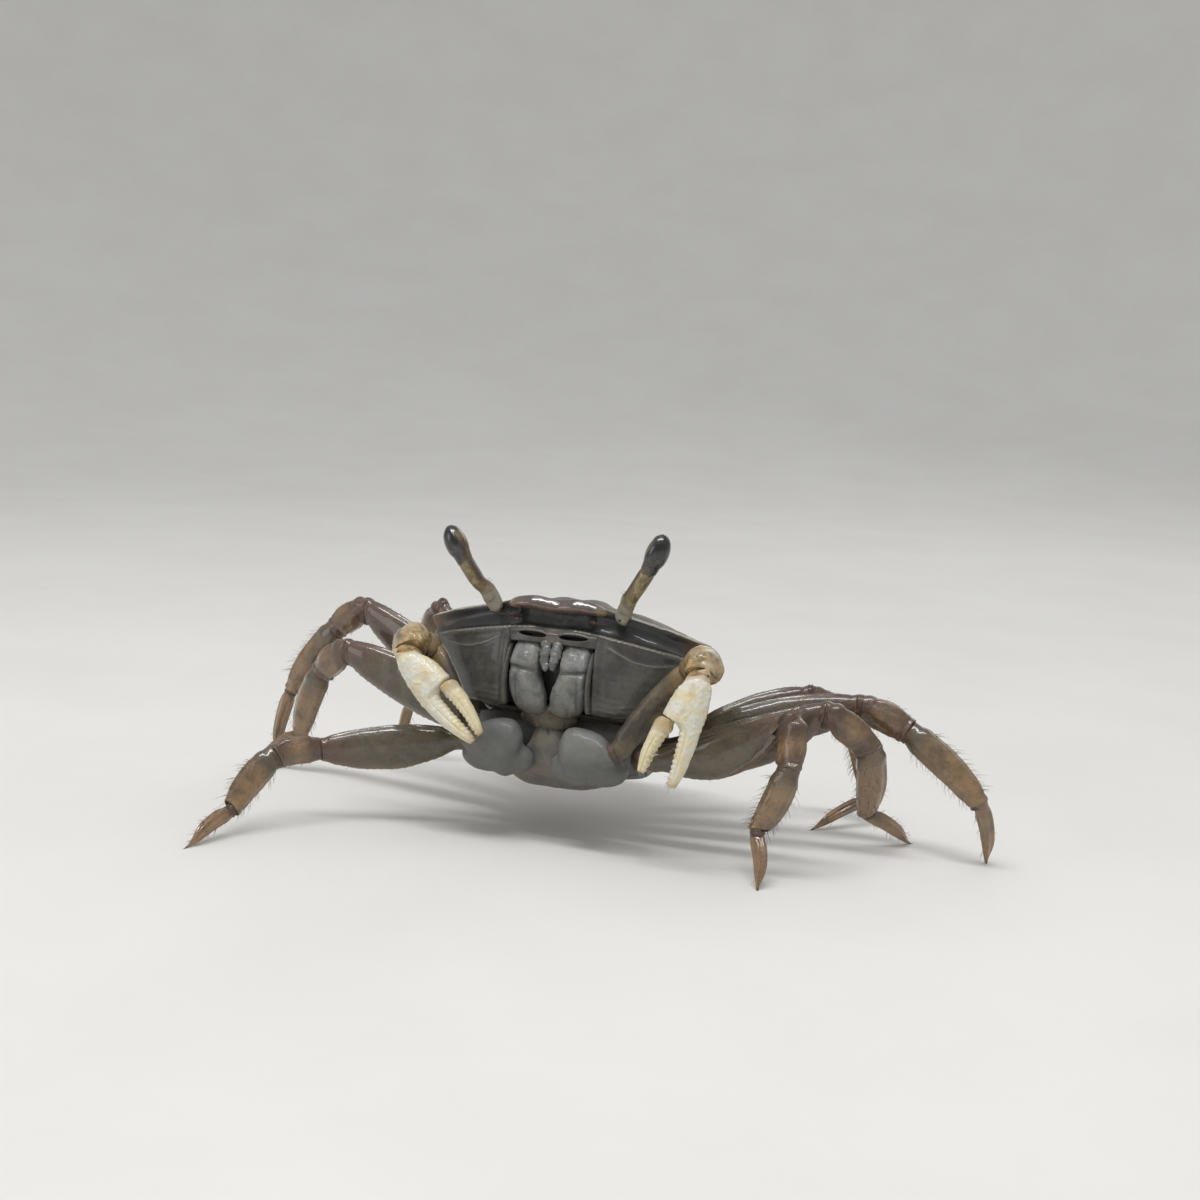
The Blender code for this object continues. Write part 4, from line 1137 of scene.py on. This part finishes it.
class CRAB_OT_eyes(bpy.types.Operator):
    """Model the eyestalks and the tall corneas that wrap round their outer sides"""

    bl_idname = "crab.eyes"
    bl_label = "Eyes"

    def execute(self, context):
        c = colours()
        stalk_look = crust("tan_stalk", c.stalk, c.rim, (("pale", c.line, 0.8), ("streak", c.streak, 0.9)),
                           roughness=0.4, coat=0.7, grain=0.16, grain_depth=0.014, patch=0.9)
        cornea_look = self.cornea_look()
        for name, sign in SIDES.items():
            self.eye(name, sign, stalk_look, cornea_look)
        return {"FINISHED"}

    def cornea_look(self):
        c = colours()
        net = Net("glossy_cornea", Coat_Weight=0.8, Coat_Roughness=0.03, Specular_IOR_Level=0.45)
        facets = net.cells(0.055)
        haze = net.cloud(0.7, 3.0, 0.5)
        low = net.share("low")
        tone = net.mix(c.cornea, net.mix(c.cornea, c.plate, 0.3), haze.between(0.42, 0.7) * low)
        tone = net.mix(tone, c.streak, net.share("socket") * 0.9)
        tone = net.mix(tone, net.mix(c.stalk, c.streak, haze.between(0.4, 0.65) * 0.7), net.share("strip"))
        return net.finish(tone, haze * 0.1 + 0.16, net.relief(facets.between(0.0, 0.7), 0.003))

    def eye(self, name, sign, stalk_look, cornea_look):
        stalk_node, eye_node = "eyestalk_" + name, "eye_" + name
        joint, across, _ = meeting(stalk_node, eye_node)
        root, tip = far_end(stalk_node, joint), far_end(eye_node, joint)
        inner = np.array((-sign, 0.25, 0.35))

        eye = shell_of(eye_node, "cornea_" + name)
        limb = Limb(eye, (joint, across), (tip, unit(tip - joint)), inner)
        rim = limb.facing_up - 0.66 + 0.5 * limb.share
        strip = slope(rim, 0.0, 0.12) * slope(limb.share, 0.9, 0.7)
        foot = slope(limb.share, 0.16 + 0.12 * limb.facing_up, 0.04)
        raise_surface(eye, -0.06 * bell(rim, 0.0, 0.05) * slope(limb.share, 0.9, 0.7) - 0.04 * strip
                      + 0.05 * (1 - strip) * slope(limb.share, 0.1, 0.3))
        nest(eye, limb, tuck=0.6, pinch=0.0, hollow=0.0)
        paint(eye,
              low=slope(limb.share, 0.75, 0.25),
              strip=np.maximum(strip, foot),
              socket=bell(rim, 0.0, 0.08) + bell(limb.share, 0.2, 0.04))
        keep(eye, cornea_look, "cornea", eye_node)

        stalk = shell_of(stalk_node, "stalk_" + name, crease=0.3)
        limb = Limb(stalk, (root, unit(BODY_TURN @ (0.0, -1.0, 0.0))), (joint, across), inner)
        raise_surface(stalk, 0.02 * rough(limb.places, 0.8))
        widen(stalk, limb, FULLER["stalk"])
        nest(stalk, limb, tuck=0.6, pinch=0.0, hollow=0.0)
        lift = (limb.along * STALK_LIFT + BODY_TURN @ (0.0, STALK_BACK, 0.0)) * MM
        move_points(stalk, points_of(stalk) + slope(limb.share, 0.7, 0.0)[:, None] * lift)
        streak = slope(limb.facing_up, 0.1, 0.6) * slope(limb.share, 0.35, 0.5)
        paint(stalk, pale=slope(limb.share, 0.42, 0.16), streak=streak + 0.5 * bell(limb.share, 1.0, 0.05))
        keep(stalk, stalk_look, "stalk", stalk_node)
        HAIR.grow(stalk, bell(limb.share, 0.5, 0.1) * slope(limb.facing_up, 0.4, 0.8), 8, 0.3, inner)

        behind = root + lift + BODY_TURN @ SOCKET_BEHIND * MM
        socket = ball("eye_socket_" + name, Vector(behind), SOCKET_RADII, BODY_TILT)
        raise_surface(socket, 0.05 * rough(points_of(socket) / MM, 0.4))
        keep(socket, skin_look("socket_skin", colours().leg_shade), "stalk")


class CRAB_OT_feelers(bpy.types.Operator):
    """Model the short feelers, stout at their roots and thin as hairs at their tips"""

    bl_idname = "crab.feelers"
    bl_label = "Feelers"

    def execute(self, context):
        c = colours()
        look = crust("brown_feeler", c.streak, c.band, (), roughness=0.5, coat=0.1, gloss=0.25,
                     patch=0.6, grain=0.12, grain_depth=0.01)
        for name, sign in SIDES.items():
            node = "antenna_" + name
            places = np.unique(points_of(frame["nodes"][node]).round(7), axis=0)
            outer = places[np.argmax((places[:, 0] - BODY_PLACE[0]) * sign)]
            root = far_end(node, outer)
            tip = far_end(node, root)
            piece = shell_of(node, "feeler_" + name)
            places = points_of(piece)
            share = np.linalg.norm(places - root, axis=1) / np.linalg.norm(tip - root)
            joints = bell(share % 0.14, 0.0, 0.03) * slope(share, 0.45, 0.4)
            rings = 0.5 + 0.5 * np.cos(share * 2 * math.pi * FEELER_RINGS)
            middle = middle_line(share, places)
            size = 1.0 - 0.3 * slope(share, 0.0, 0.3) - 0.45 * slope(share, 0.36, 0.46)
            size = size - 0.05 * rings - 0.12 * joints
            move_points(piece, middle + (places - middle) * size[:, None])
            keep(piece, look, "feeler", node)
        return {"FINISHED"}


class CRAB_OT_claws(bpy.types.Operator):
    """Model the two small claws: grey roots, brown arms, amber wrists, pale hands and fingers"""

    bl_idname = "crab.claws"
    bl_label = "Claws"

    def execute(self, context):
        c = colours()
        # foot on the claw roots is painted shade: darker towards the bottom, where the root runs into the
        # breast
        root = (("brown", c.tail, 0.6), ("foot", c.plate_shade, 0.6))
        # edge on the arms is a painted highlight: the raised side edge in the palms' near-white
        arm = (("edge", c.palm, 0.75), ("knee", c.amber, 0.45))
        wrist = (("base", c.leg, 0.8), ("pale", c.palm, 0.4))
        hand = (("yellow", c.finger, 0.9), ("stain", c.amber, 0.5),
                ("tip", c.amber, 0.6), ("root", c.amber, 0.8))
        self.looks = {
            "ischium": crust("grey_claw_root", c.plate, c.plate_shade, root, roughness=0.46, coat=0.12,
                             patch=2.6, grain_depth=0.01, flecks=0.06),
            "merus": crust("brown_arm", c.leg_shade, c.leg, arm, roughness=0.4, coat=0.35),
            "carpus": crust("amber_wrist", c.amber, c.stalk, wrist, roughness=0.25, coat=1.0, flesh=0.25,
                            patch=1.1, grain_depth=0.008),
            "hand": crust("pale_hand", c.palm, c.finger, hand, roughness=0.38, coat=0.3, flesh=0.2,
                          patch=1.4, grain=0.22, grain_depth=0.014, flecks=0.12),
        }
        for name, sign in SIDES.items():
            self.claw(name, sign)
        return {"FINISHED"}

    def claw(self, name, sign):
        nodes = [f"claw_{name}_{part}" for part in CLAW_PIECES]
        stops = limb_stops(nodes)
        outer = np.array((sign, 0.0, 0.0))
        high = np.array((0.0, 0.0, 1.0))
        reliefs = (self.shade_root, self.shade_arm, self.shade_wrist, self.shade_hand)
        for i, part in enumerate(CLAW_PIECES):
            crease = {"hand": 0.25, "carpus": 0.1}.get(part, LIMB_CREASE)
            piece = shell_of(nodes[i], nodes[i] + "_shell", crease, extra=int(part == "hand"))
            if part == "ischium":
                piece = self.on_mound(piece, sign)
            limb = Limb(piece, stops[i], stops[i + 1], (high, high, outer + high, outer)[i])
            if part == "carpus":
                widen(piece, limb, FULLER["wrist"])
            reliefs[i](piece, limb, sign)
            nest(piece, limb, tuck=(0.0, 0.6, 0.1, 0.6)[i], hollow=0.3 if i in (1, 2) else 0.0)
            if part == "carpus":
                self.hide_root(piece, limb, stops[i][0])
            keep(piece, self.looks[part], frame_slot(nodes[i]), nodes[i])
        self.finger(name, stops[3], stops[4], outer)
        knuckle = ball(f"claw_{name}_knuckle", Vector(stops[2][0]), [KNUCKLE] * 3, segments=48, rings=32)
        raise_surface(knuckle, 0.09 * rough(points_of(knuckle) / MM, 0.9))
        paint(knuckle, knee=0.8)
        keep(knuckle, self.looks["merus"], "claw_arm")
        for i in range(3):
            cushion = joint_cushion(f"claw_{name}_skin_{i}", nodes[i], nodes[i + 1], outer + high)
            keep(cushion, skin_look("claw_skin", colours().amber) if i == 2 else skin_look(), "claw_arm")

    def hide_root(self, piece, limb, joint):
        """Draw the wrist's pointed root into the knuckle."""
        offsets = points_of(piece) - joint
        lengths = np.linalg.norm(offsets, axis=1) / MM
        shorter = 1 - np.minimum(1.0, 0.9 * KNUCKLE / np.maximum(lengths, 0.01))
        size = 1 - shorter * slope(offsets @ limb.along / MM, 0.6, 0.0)
        move_points(piece, joint + offsets * size[:, None])

    def on_mound(self, piece, sign):
        """Let a claw's rounded root run out into the breast plate as a hill."""
        mounds = [body_ball("mound", (sign * x, y, z), radii, segments=48, rings=32)
                  for (x, y, z), radii in MOUNDS]
        return melt([piece, *mounds], piece.name, ROOT_CELL, 0.7, 40)

    def shade_root(self, piece, limb, sign):
        grains = np.maximum(0.0, rough(limb.places, 0.5, 8.0))
        raise_surface(piece, 0.07 * rough(limb.places, 2.4, 3.0) + 0.03 * grains)
        stains = slope(rough(limb.places, 1.6, 5.0), 0.1, 0.6)
        # Painted shade: foot darkens the lowest part of the root
        paint(piece,
              brown=slope(limb.places[:, 2], 6.5, 4.5) + 0.5 * stains,
              foot=slope(to_body(points_of(piece))[:, 2], -9.6, -11.2))

    def shade_arm(self, piece, limb, sign):
        # Painted highlight: the raised side edge of the arm is painted near-white
        edge = bell(limb.facing_side * sign, -0.7, 0.16) * slope(limb.facing_up, -0.2, 0.3)
        height = 0.1 * edge * (0.7 + 0.3 * limb.teeth(ARM_STEP)) + 0.04 * rough(limb.places, 1.4, 5.0)
        raise_surface(piece, height + rim_relief(limb))
        paint(piece, edge=edge, knee=slope(limb.to_end, 1.6, 0.2))

    def shade_wrist(self, piece, limb, sign):
        grains = np.maximum(0.0, rough(limb.places, 0.3, 2.0))
        swell = 0.12 * rough(limb.places, 1.7, 7.0) + 0.04 * rough(limb.places, 0.8, 3.0)
        raise_surface(piece, swell + 0.07 * grains + 0.06 * bell(limb.share, 0.93, 0.04))
        paint(piece,
              base=slope(limb.share, 0.3, 0.05),
              pale=0.6 * grains + 0.6 * bell(limb.facing_up, 1.0, 0.4))

    def shade_hand(self, piece, limb, sign):
        inner = slope(-limb.facing_up, 0.2, 0.7)
        finger = slope(limb.share, 0.44, 0.5)
        grains = np.maximum(0.0, rough(limb.places, 0.28, 4.0)) * slope(limb.share, 0.95, 0.6)
        height = 0.05 * rough(limb.places, 1.2, 9.0) + 0.09 * limb.teeth(TOOTH_STEP) * inner * finger
        height = height + 0.09 * grains
        height += 0.06 * bell(limb.share, 0.05, 0.03) + 0.06 * bell(limb.facing_up, 1.0, 0.12)
        height -= 0.08 * bell(limb.facing_up, -0.1, 0.12) * finger * slope(limb.share, 0.97, 0.85)
        raise_surface(piece, height)
        paint(piece,
              yellow=0.35 * finger + 0.3 * inner * (1 - finger) * slope(limb.share, 0.2, 0.4),
              stain=0.5 * slope(rough(limb.places, 0.9, 14.0), 0.2, 0.5) * (1 - 0.5 * finger),
              tip=slope(limb.share, 0.9, 1.0),
              root=slope(limb.from_start, 0.6, 0.0))
        HAIR.grow(piece, inner * slope(limb.share, 0.6, 0.7), 26, 0.35, limb.along)

    def finger(self, name, first, last, outer):
        node = f"claw_{name}_finger"
        piece = shell_of(node, node + "_shell", crease=0.25, extra=1)
        limb = Limb(piece, first, last, outer)
        share = (limb.share - FINGER_START) / (1 - FINGER_START)
        inner = slope(limb.facing_up, 0.2, 0.7)
        grains = np.maximum(0.0, rough(limb.places, 0.28, 8.0)) * slope(share, 0.9, 0.4)
        height = 0.09 * limb.teeth(TOOTH_STEP) * inner + 0.04 * rough(limb.places, 1.0, 2.0)
        height += 0.06 * bell(share, 0.03, 0.05)
        height += 0.06 * grains - 0.07 * bell(limb.facing_up, 0.1, 0.12) * slope(share, 0.1, 0.3)
        raise_surface(piece, height)
        move_points(piece, points_of(piece) - limb.along * (0.35 * MM * slope(share, 0.08, 0.0))[:, None])
        paint(piece,
              yellow=0.95 * slope(share, 0.0, 0.2),
              root=slope(share, 0.16, 0.0),
              tip=slope(share, 0.82, 1.0))
        keep(piece, self.looks["hand"], "hand", node)
        HAIR.grow(piece, inner * slope(share, 0.3, 0.5), 22, 0.35, limb.along)


def frame_slot(node):
    """The record's material slot of a node."""
    for part in frame["record"]["subparts"]:
        if part["node"] == node:
            return part["material_slot"]
    raise RuntimeError(f"the record has no slot for {node}")


def skin_look(name="joint_skin", colour=None):
    """The soft skin of the joints, made once for each of its colours."""
    known = bpy.data.materials.get(name)
    c = colours()
    return known or crust(name, colour or c.skin, c.leg_shade, (), roughness=0.42, coat=0.3, flesh=0.1,
                          patch=0.7, grain=0.14, grain_depth=0.02)


class CRAB_OT_legs(bpy.types.Operator):
    """Model the eight walking legs with their ridges, knees, toes and joint skin"""

    bl_idname = "crab.legs"
    bl_label = "Legs"

    def execute(self, context):
        c = colours()
        ramp = ((0.0, c.leg), (0.17, c.leg), (0.232, c.knee), (0.29, c.knee), (0.38, c.shank),
                (0.47, c.knee), (0.52, c.leg), (0.6, c.shank), (0.8, c.shank), (0.9, c.toe),
                (0.985, c.toe), (1.0, c.streak))
        layers = (("crest", c.knee, 0.2), ("belly", c.shank, 0.35), ("joint", c.skin, 0.6))
        look = crust("wet_leg_shell", c.leg, c.leg_shade, layers, roughness=0.27, coat=0.9, flesh=0.08,
                     patch=1.9, grain=0.24, grain_depth=0.022, ramp=ramp)
        for name in SIDES:
            for number in (1, 2, 3, 4):
                self.leg(name, number, look)
        return {"FINISHED"}

    def leg(self, name, number, look):
        nodes = [f"leg_{name}_{number}_{part}" for part in LEG_PIECES]
        stops = limb_stops(nodes)
        reliefs = (shade_merus, shade_short_piece, shade_short_piece, shade_dactyl)
        for i, part in enumerate(LEG_PIECES):
            piece = shell_of(nodes[i], nodes[i] + "_shell",
                             crease=0.25 if part == "carpus" or number == 4 else LIMB_CREASE)
            limb = Limb(piece, stops[i], stops[i + 1], leg_up(stops[i][0], stops[i + 1][0]))
            tip = part == "dactyl"
            factors = FULLER.get("first " + part if number == 1 else part, FULLER.get(part))
            if factors:
                widen(piece, limb, factors)
            raise_surface(piece, reliefs[i](limb) + (0.0 if tip else rim_relief(limb)))
            nest(piece, limb, hollow=0.0 if tip else 0.35)
            if tip:
                sharpen_tip(piece, stops[i][0], stops[i + 1][0])
            stand_on_floor(piece)
            paint(piece,
                  reach=(i + np.clip(limb.share, 0.0, 1.0)) / len(LEG_PIECES),
                  crest=bell(limb.facing_up, 1.0, 0.25),
                  belly=slope(-limb.facing_up, 0.3, 0.9),
                  joint=slope(limb.from_start, 0.35, 0.0) + (0 if tip else slope(limb.to_end, 0.06, 0.0)))
            keep(piece, look, "leg", nodes[i])
            self.fringe(piece, limb, i)
        for i in range(3):
            up = leg_up(stops[i][0], stops[i + 1][0])
            wide, deep = (0.97 if number < 4 else 1.08, 0.85) if i == 0 else (0.88, 0.55)
            cushion = joint_cushion(f"leg_{name}_{number}_skin_{i}", nodes[i], nodes[i + 1], up, wide, deep)
            keep(cushion, skin_look("knee_skin", colours().knee) if i == 0 else skin_look(), "leg")

    def fringe(self, piece, limb, order):
        """Bristles along the upper and lower edges, longest and densest on the two outer pieces."""
        length = sizes().bristle / MM
        count, reach = ((14, 0.35), (26, 0.45), (80, 1.0), (50, 0.6))[order]
        edges = np.maximum(bell(limb.facing_up, 1.0, 0.3), bell(limb.facing_up, -1.0, 0.2))
        where = edges * slope(limb.share, 0.08, 0.2) * slope(limb.share, 0.97, 0.9)
        HAIR.grow(piece, where, count, reach * length, limb.along, 0.7)


class CRAB_OT_hips(bpy.types.Operator):
    """Model the skin that closes the gaps between the breast plate and the legs"""

    bl_idname = "crab.hips"
    bl_label = "Hips"

    def execute(self, context):
        for name in SIDES:
            for number in (1, 2, 3, 4):
                node = f"leg_{name}_{number}_merus"
                root = far_end(node, meeting(node, f"leg_{name}_{number}_carpus")[0])
                cushion = ball(f"hip_{name}_{number}", Vector(root), HIP_RADII)
                raise_surface(cushion, 0.04 * rough(points_of(cushion) / MM, 0.5, number))
                keep(cushion, skin_look(), "leg")
        return {"FINISHED"}


class CRAB_OT_bristles(bpy.types.Operator):
    """Make the bristles of the legs, claws and eyestalks as one joined mesh"""

    bl_idname = "crab.bristles"
    bl_label = "Bristles"

    def execute(self, context):
        if not HAIR.hairs:
            raise RuntimeError("no piece has bristles to make")
        c = colours()
        net = Net("brown_bristle", Coat_Weight=0.2, Coat_Roughness=0.3)
        tone = net.mix(c.leg, c.rim, net.cloud(3.0).between(0.35, 0.65))
        look = net.finish(tone, net.cloud(0.5) * 0.2 + 0.4, net.relief(net.cloud(0.1), 0.004))
        keep(HAIR.make("bristles", sizes().bristle_radius / MM), look, "leg")
        return {"FINISHED"}


class CRAB_OT_stage(bpy.types.Operator):
    """Set the pale floor, the soft lights and the camera"""

    bl_idname = "crab.stage"
    bl_label = "Stage"

    def execute(self, context):
        self.floor()
        self.world(context)
        self.lights()
        self.camera(context)
        return {"FINISHED"}

    def floor(self):
        """A round floor that curves up into a wall far behind the crab on every side."""
        radius, height = FLOOR_RADIUS, 0.0
        bpy.ops.mesh.primitive_circle_add(vertices=128, radius=radius, fill_type="NGON")
        floor = bpy.context.object
        floor.name = "floor"
        angles = [math.radians(90 * (i + 1) / FLOOR_RINGS) for i in range(FLOOR_RINGS)]
        rings = [(FLOOR_RADIUS + FLOOR_BEND * math.sin(a), FLOOR_BEND * (1 - math.cos(a))) for a in angles]
        rings.append((FLOOR_RADIUS + FLOOR_BEND, 1.1 * FLOOR_BEND))
        with editing():
            bpy.ops.mesh.select_mode(type="EDGE")
            bpy.ops.mesh.region_to_loop()
            for wide, high in rings:
                growth = wide / radius
                step = {"value": (0.0, 0.0, high - height)}
                bpy.ops.mesh.extrude_region_move(TRANSFORM_OT_translate=step)
                bpy.ops.transform.resize(value=(growth, growth, 1.0), center_override=(0.0, 0.0, high))
                radius, height = wide, high
            bpy.ops.mesh.select_mode(type="VERT")
        floor.data.shade_smooth()
        net = Net("pale_floor", Specular_IOR_Level=0.2)
        c = colours()
        grain = net.cloud(30.0, 4.0, 0.6)
        tone = net.mix(c.floor, net.mix(c.floor, WHITE, 0.12), grain.between(0.3, 0.7))
        floor.data.materials.append(net.finish(tone, grain * 0.1 + 0.7, net.relief(net.cloud(0.6), 0.01)))

    def world(self, context):
        world = bpy.data.worlds.new("pale_room")
        context.scene.world = world
        world.use_nodes = True
        background = world.node_tree.nodes["Background"]
        background.inputs["Color"].default_value = ROOM_COLOUR
        background.inputs["Strength"].default_value = ROOM_STRENGTH
        context.scene.view_settings.view_transform = "Standard"

    def lights(self):
        """A broad soft lamp overhead, a tube for long glints, a fill in front and a rim lamp behind."""
        for name, place, size, power in LAMPS:
            bpy.ops.object.light_add(type="AREA", location=place)
            lamp = bpy.context.object
            lamp.name = name
            lamp.data.shape = "RECTANGLE"
            lamp.data.size, lamp.data.size_y = size
            lamp.data.energy = power
            lamp.rotation_euler = (LAMP_AIM - Vector(place)).to_track_quat("-Z", "Y").to_euler()

    def camera(self, context):
        azimuth = math.radians(CAMERA_AZIMUTH)
        elevation = math.radians(CAMERA_ELEVATION)
        roll = math.radians(CAMERA_ROLL)
        back = Vector((math.sin(azimuth) * math.cos(elevation), -math.cos(azimuth) * math.cos(elevation),
                       math.sin(elevation)))
        target = Vector((BODY.translation.x, BODY.translation.y, CAMERA_TARGET_HEIGHT * MM))
        place = target + back * CAMERA_DISTANCE * MM
        flat_right = Vector((math.cos(azimuth), math.sin(azimuth), 0.0))
        flat_up = back.cross(flat_right)
        right = flat_right * math.cos(roll) + flat_up * math.sin(roll)
        up = flat_up * math.cos(roll) - flat_right * math.sin(roll)
        metres_per_pixel = CAMERA_DISTANCE * MM / FOCAL_PIXELS
        off_x, off_y = ((pixel - IMAGE_SIZE / 2) * metres_per_pixel for pixel in TARGET_PIXEL)
        ahead = (target - right * off_x + up * off_y - place).normalized()
        right = (right - ahead * right.dot(ahead)).normalized()
        up = right.cross(ahead)
        bpy.ops.object.camera_add(location=place)
        camera = bpy.context.object
        camera.name = "camera"
        camera.data.sensor_width = SENSOR_WIDTH
        camera.data.lens = FOCAL_PIXELS / IMAGE_SIZE * SENSOR_WIDTH
        camera.data.clip_start = 1 * MM
        camera.data.clip_end = 10.0
        camera.rotation_euler = Matrix((right, up, -ahead)).transposed().to_euler()
        context.scene.camera = camera


class VIEW3D_PT_crab(bpy.types.Panel):
    """The crab's pieces, sizes and colours"""

    bl_label = "Fiddler crab"
    bl_space_type = "VIEW_3D"
    bl_region_type = "UI"
    bl_category = "Crab"

    def draw(self, context):
        for operator in OPERATORS:
            self.layout.operator(operator.bl_idname)
        for group in (context.scene.crab_sizes, context.scene.crab_colours):
            box = self.layout.box()
            for name in group.__annotations__:
                box.prop(group, name)


OPERATORS = (CRAB_OT_shell, CRAB_OT_breast, CRAB_OT_tail, CRAB_OT_mouth, CRAB_OT_eyes, CRAB_OT_feelers,
             CRAB_OT_claws, CRAB_OT_legs, CRAB_OT_hips, CRAB_OT_bristles, CRAB_OT_stage)
CLASSES = (CrabSizes, CrabColours, *OPERATORS, VIEW3D_PT_crab)


def register():
    for item in CLASSES:
        bpy.utils.register_class(item)
    bpy.types.Scene.crab_sizes = PointerProperty(type=CrabSizes)
    bpy.types.Scene.crab_colours = PointerProperty(type=CrabColours)


def unregister():
    del bpy.types.Scene.crab_colours
    del bpy.types.Scene.crab_sizes
    for item in reversed(CLASSES):
        bpy.utils.unregister_class(item)


def main():
    register()
    for operator in OPERATORS:
        group, name = operator.bl_idname.split(".")
        getattr(getattr(bpy.ops, group), name)()


if __name__ == "__main__":
    main()
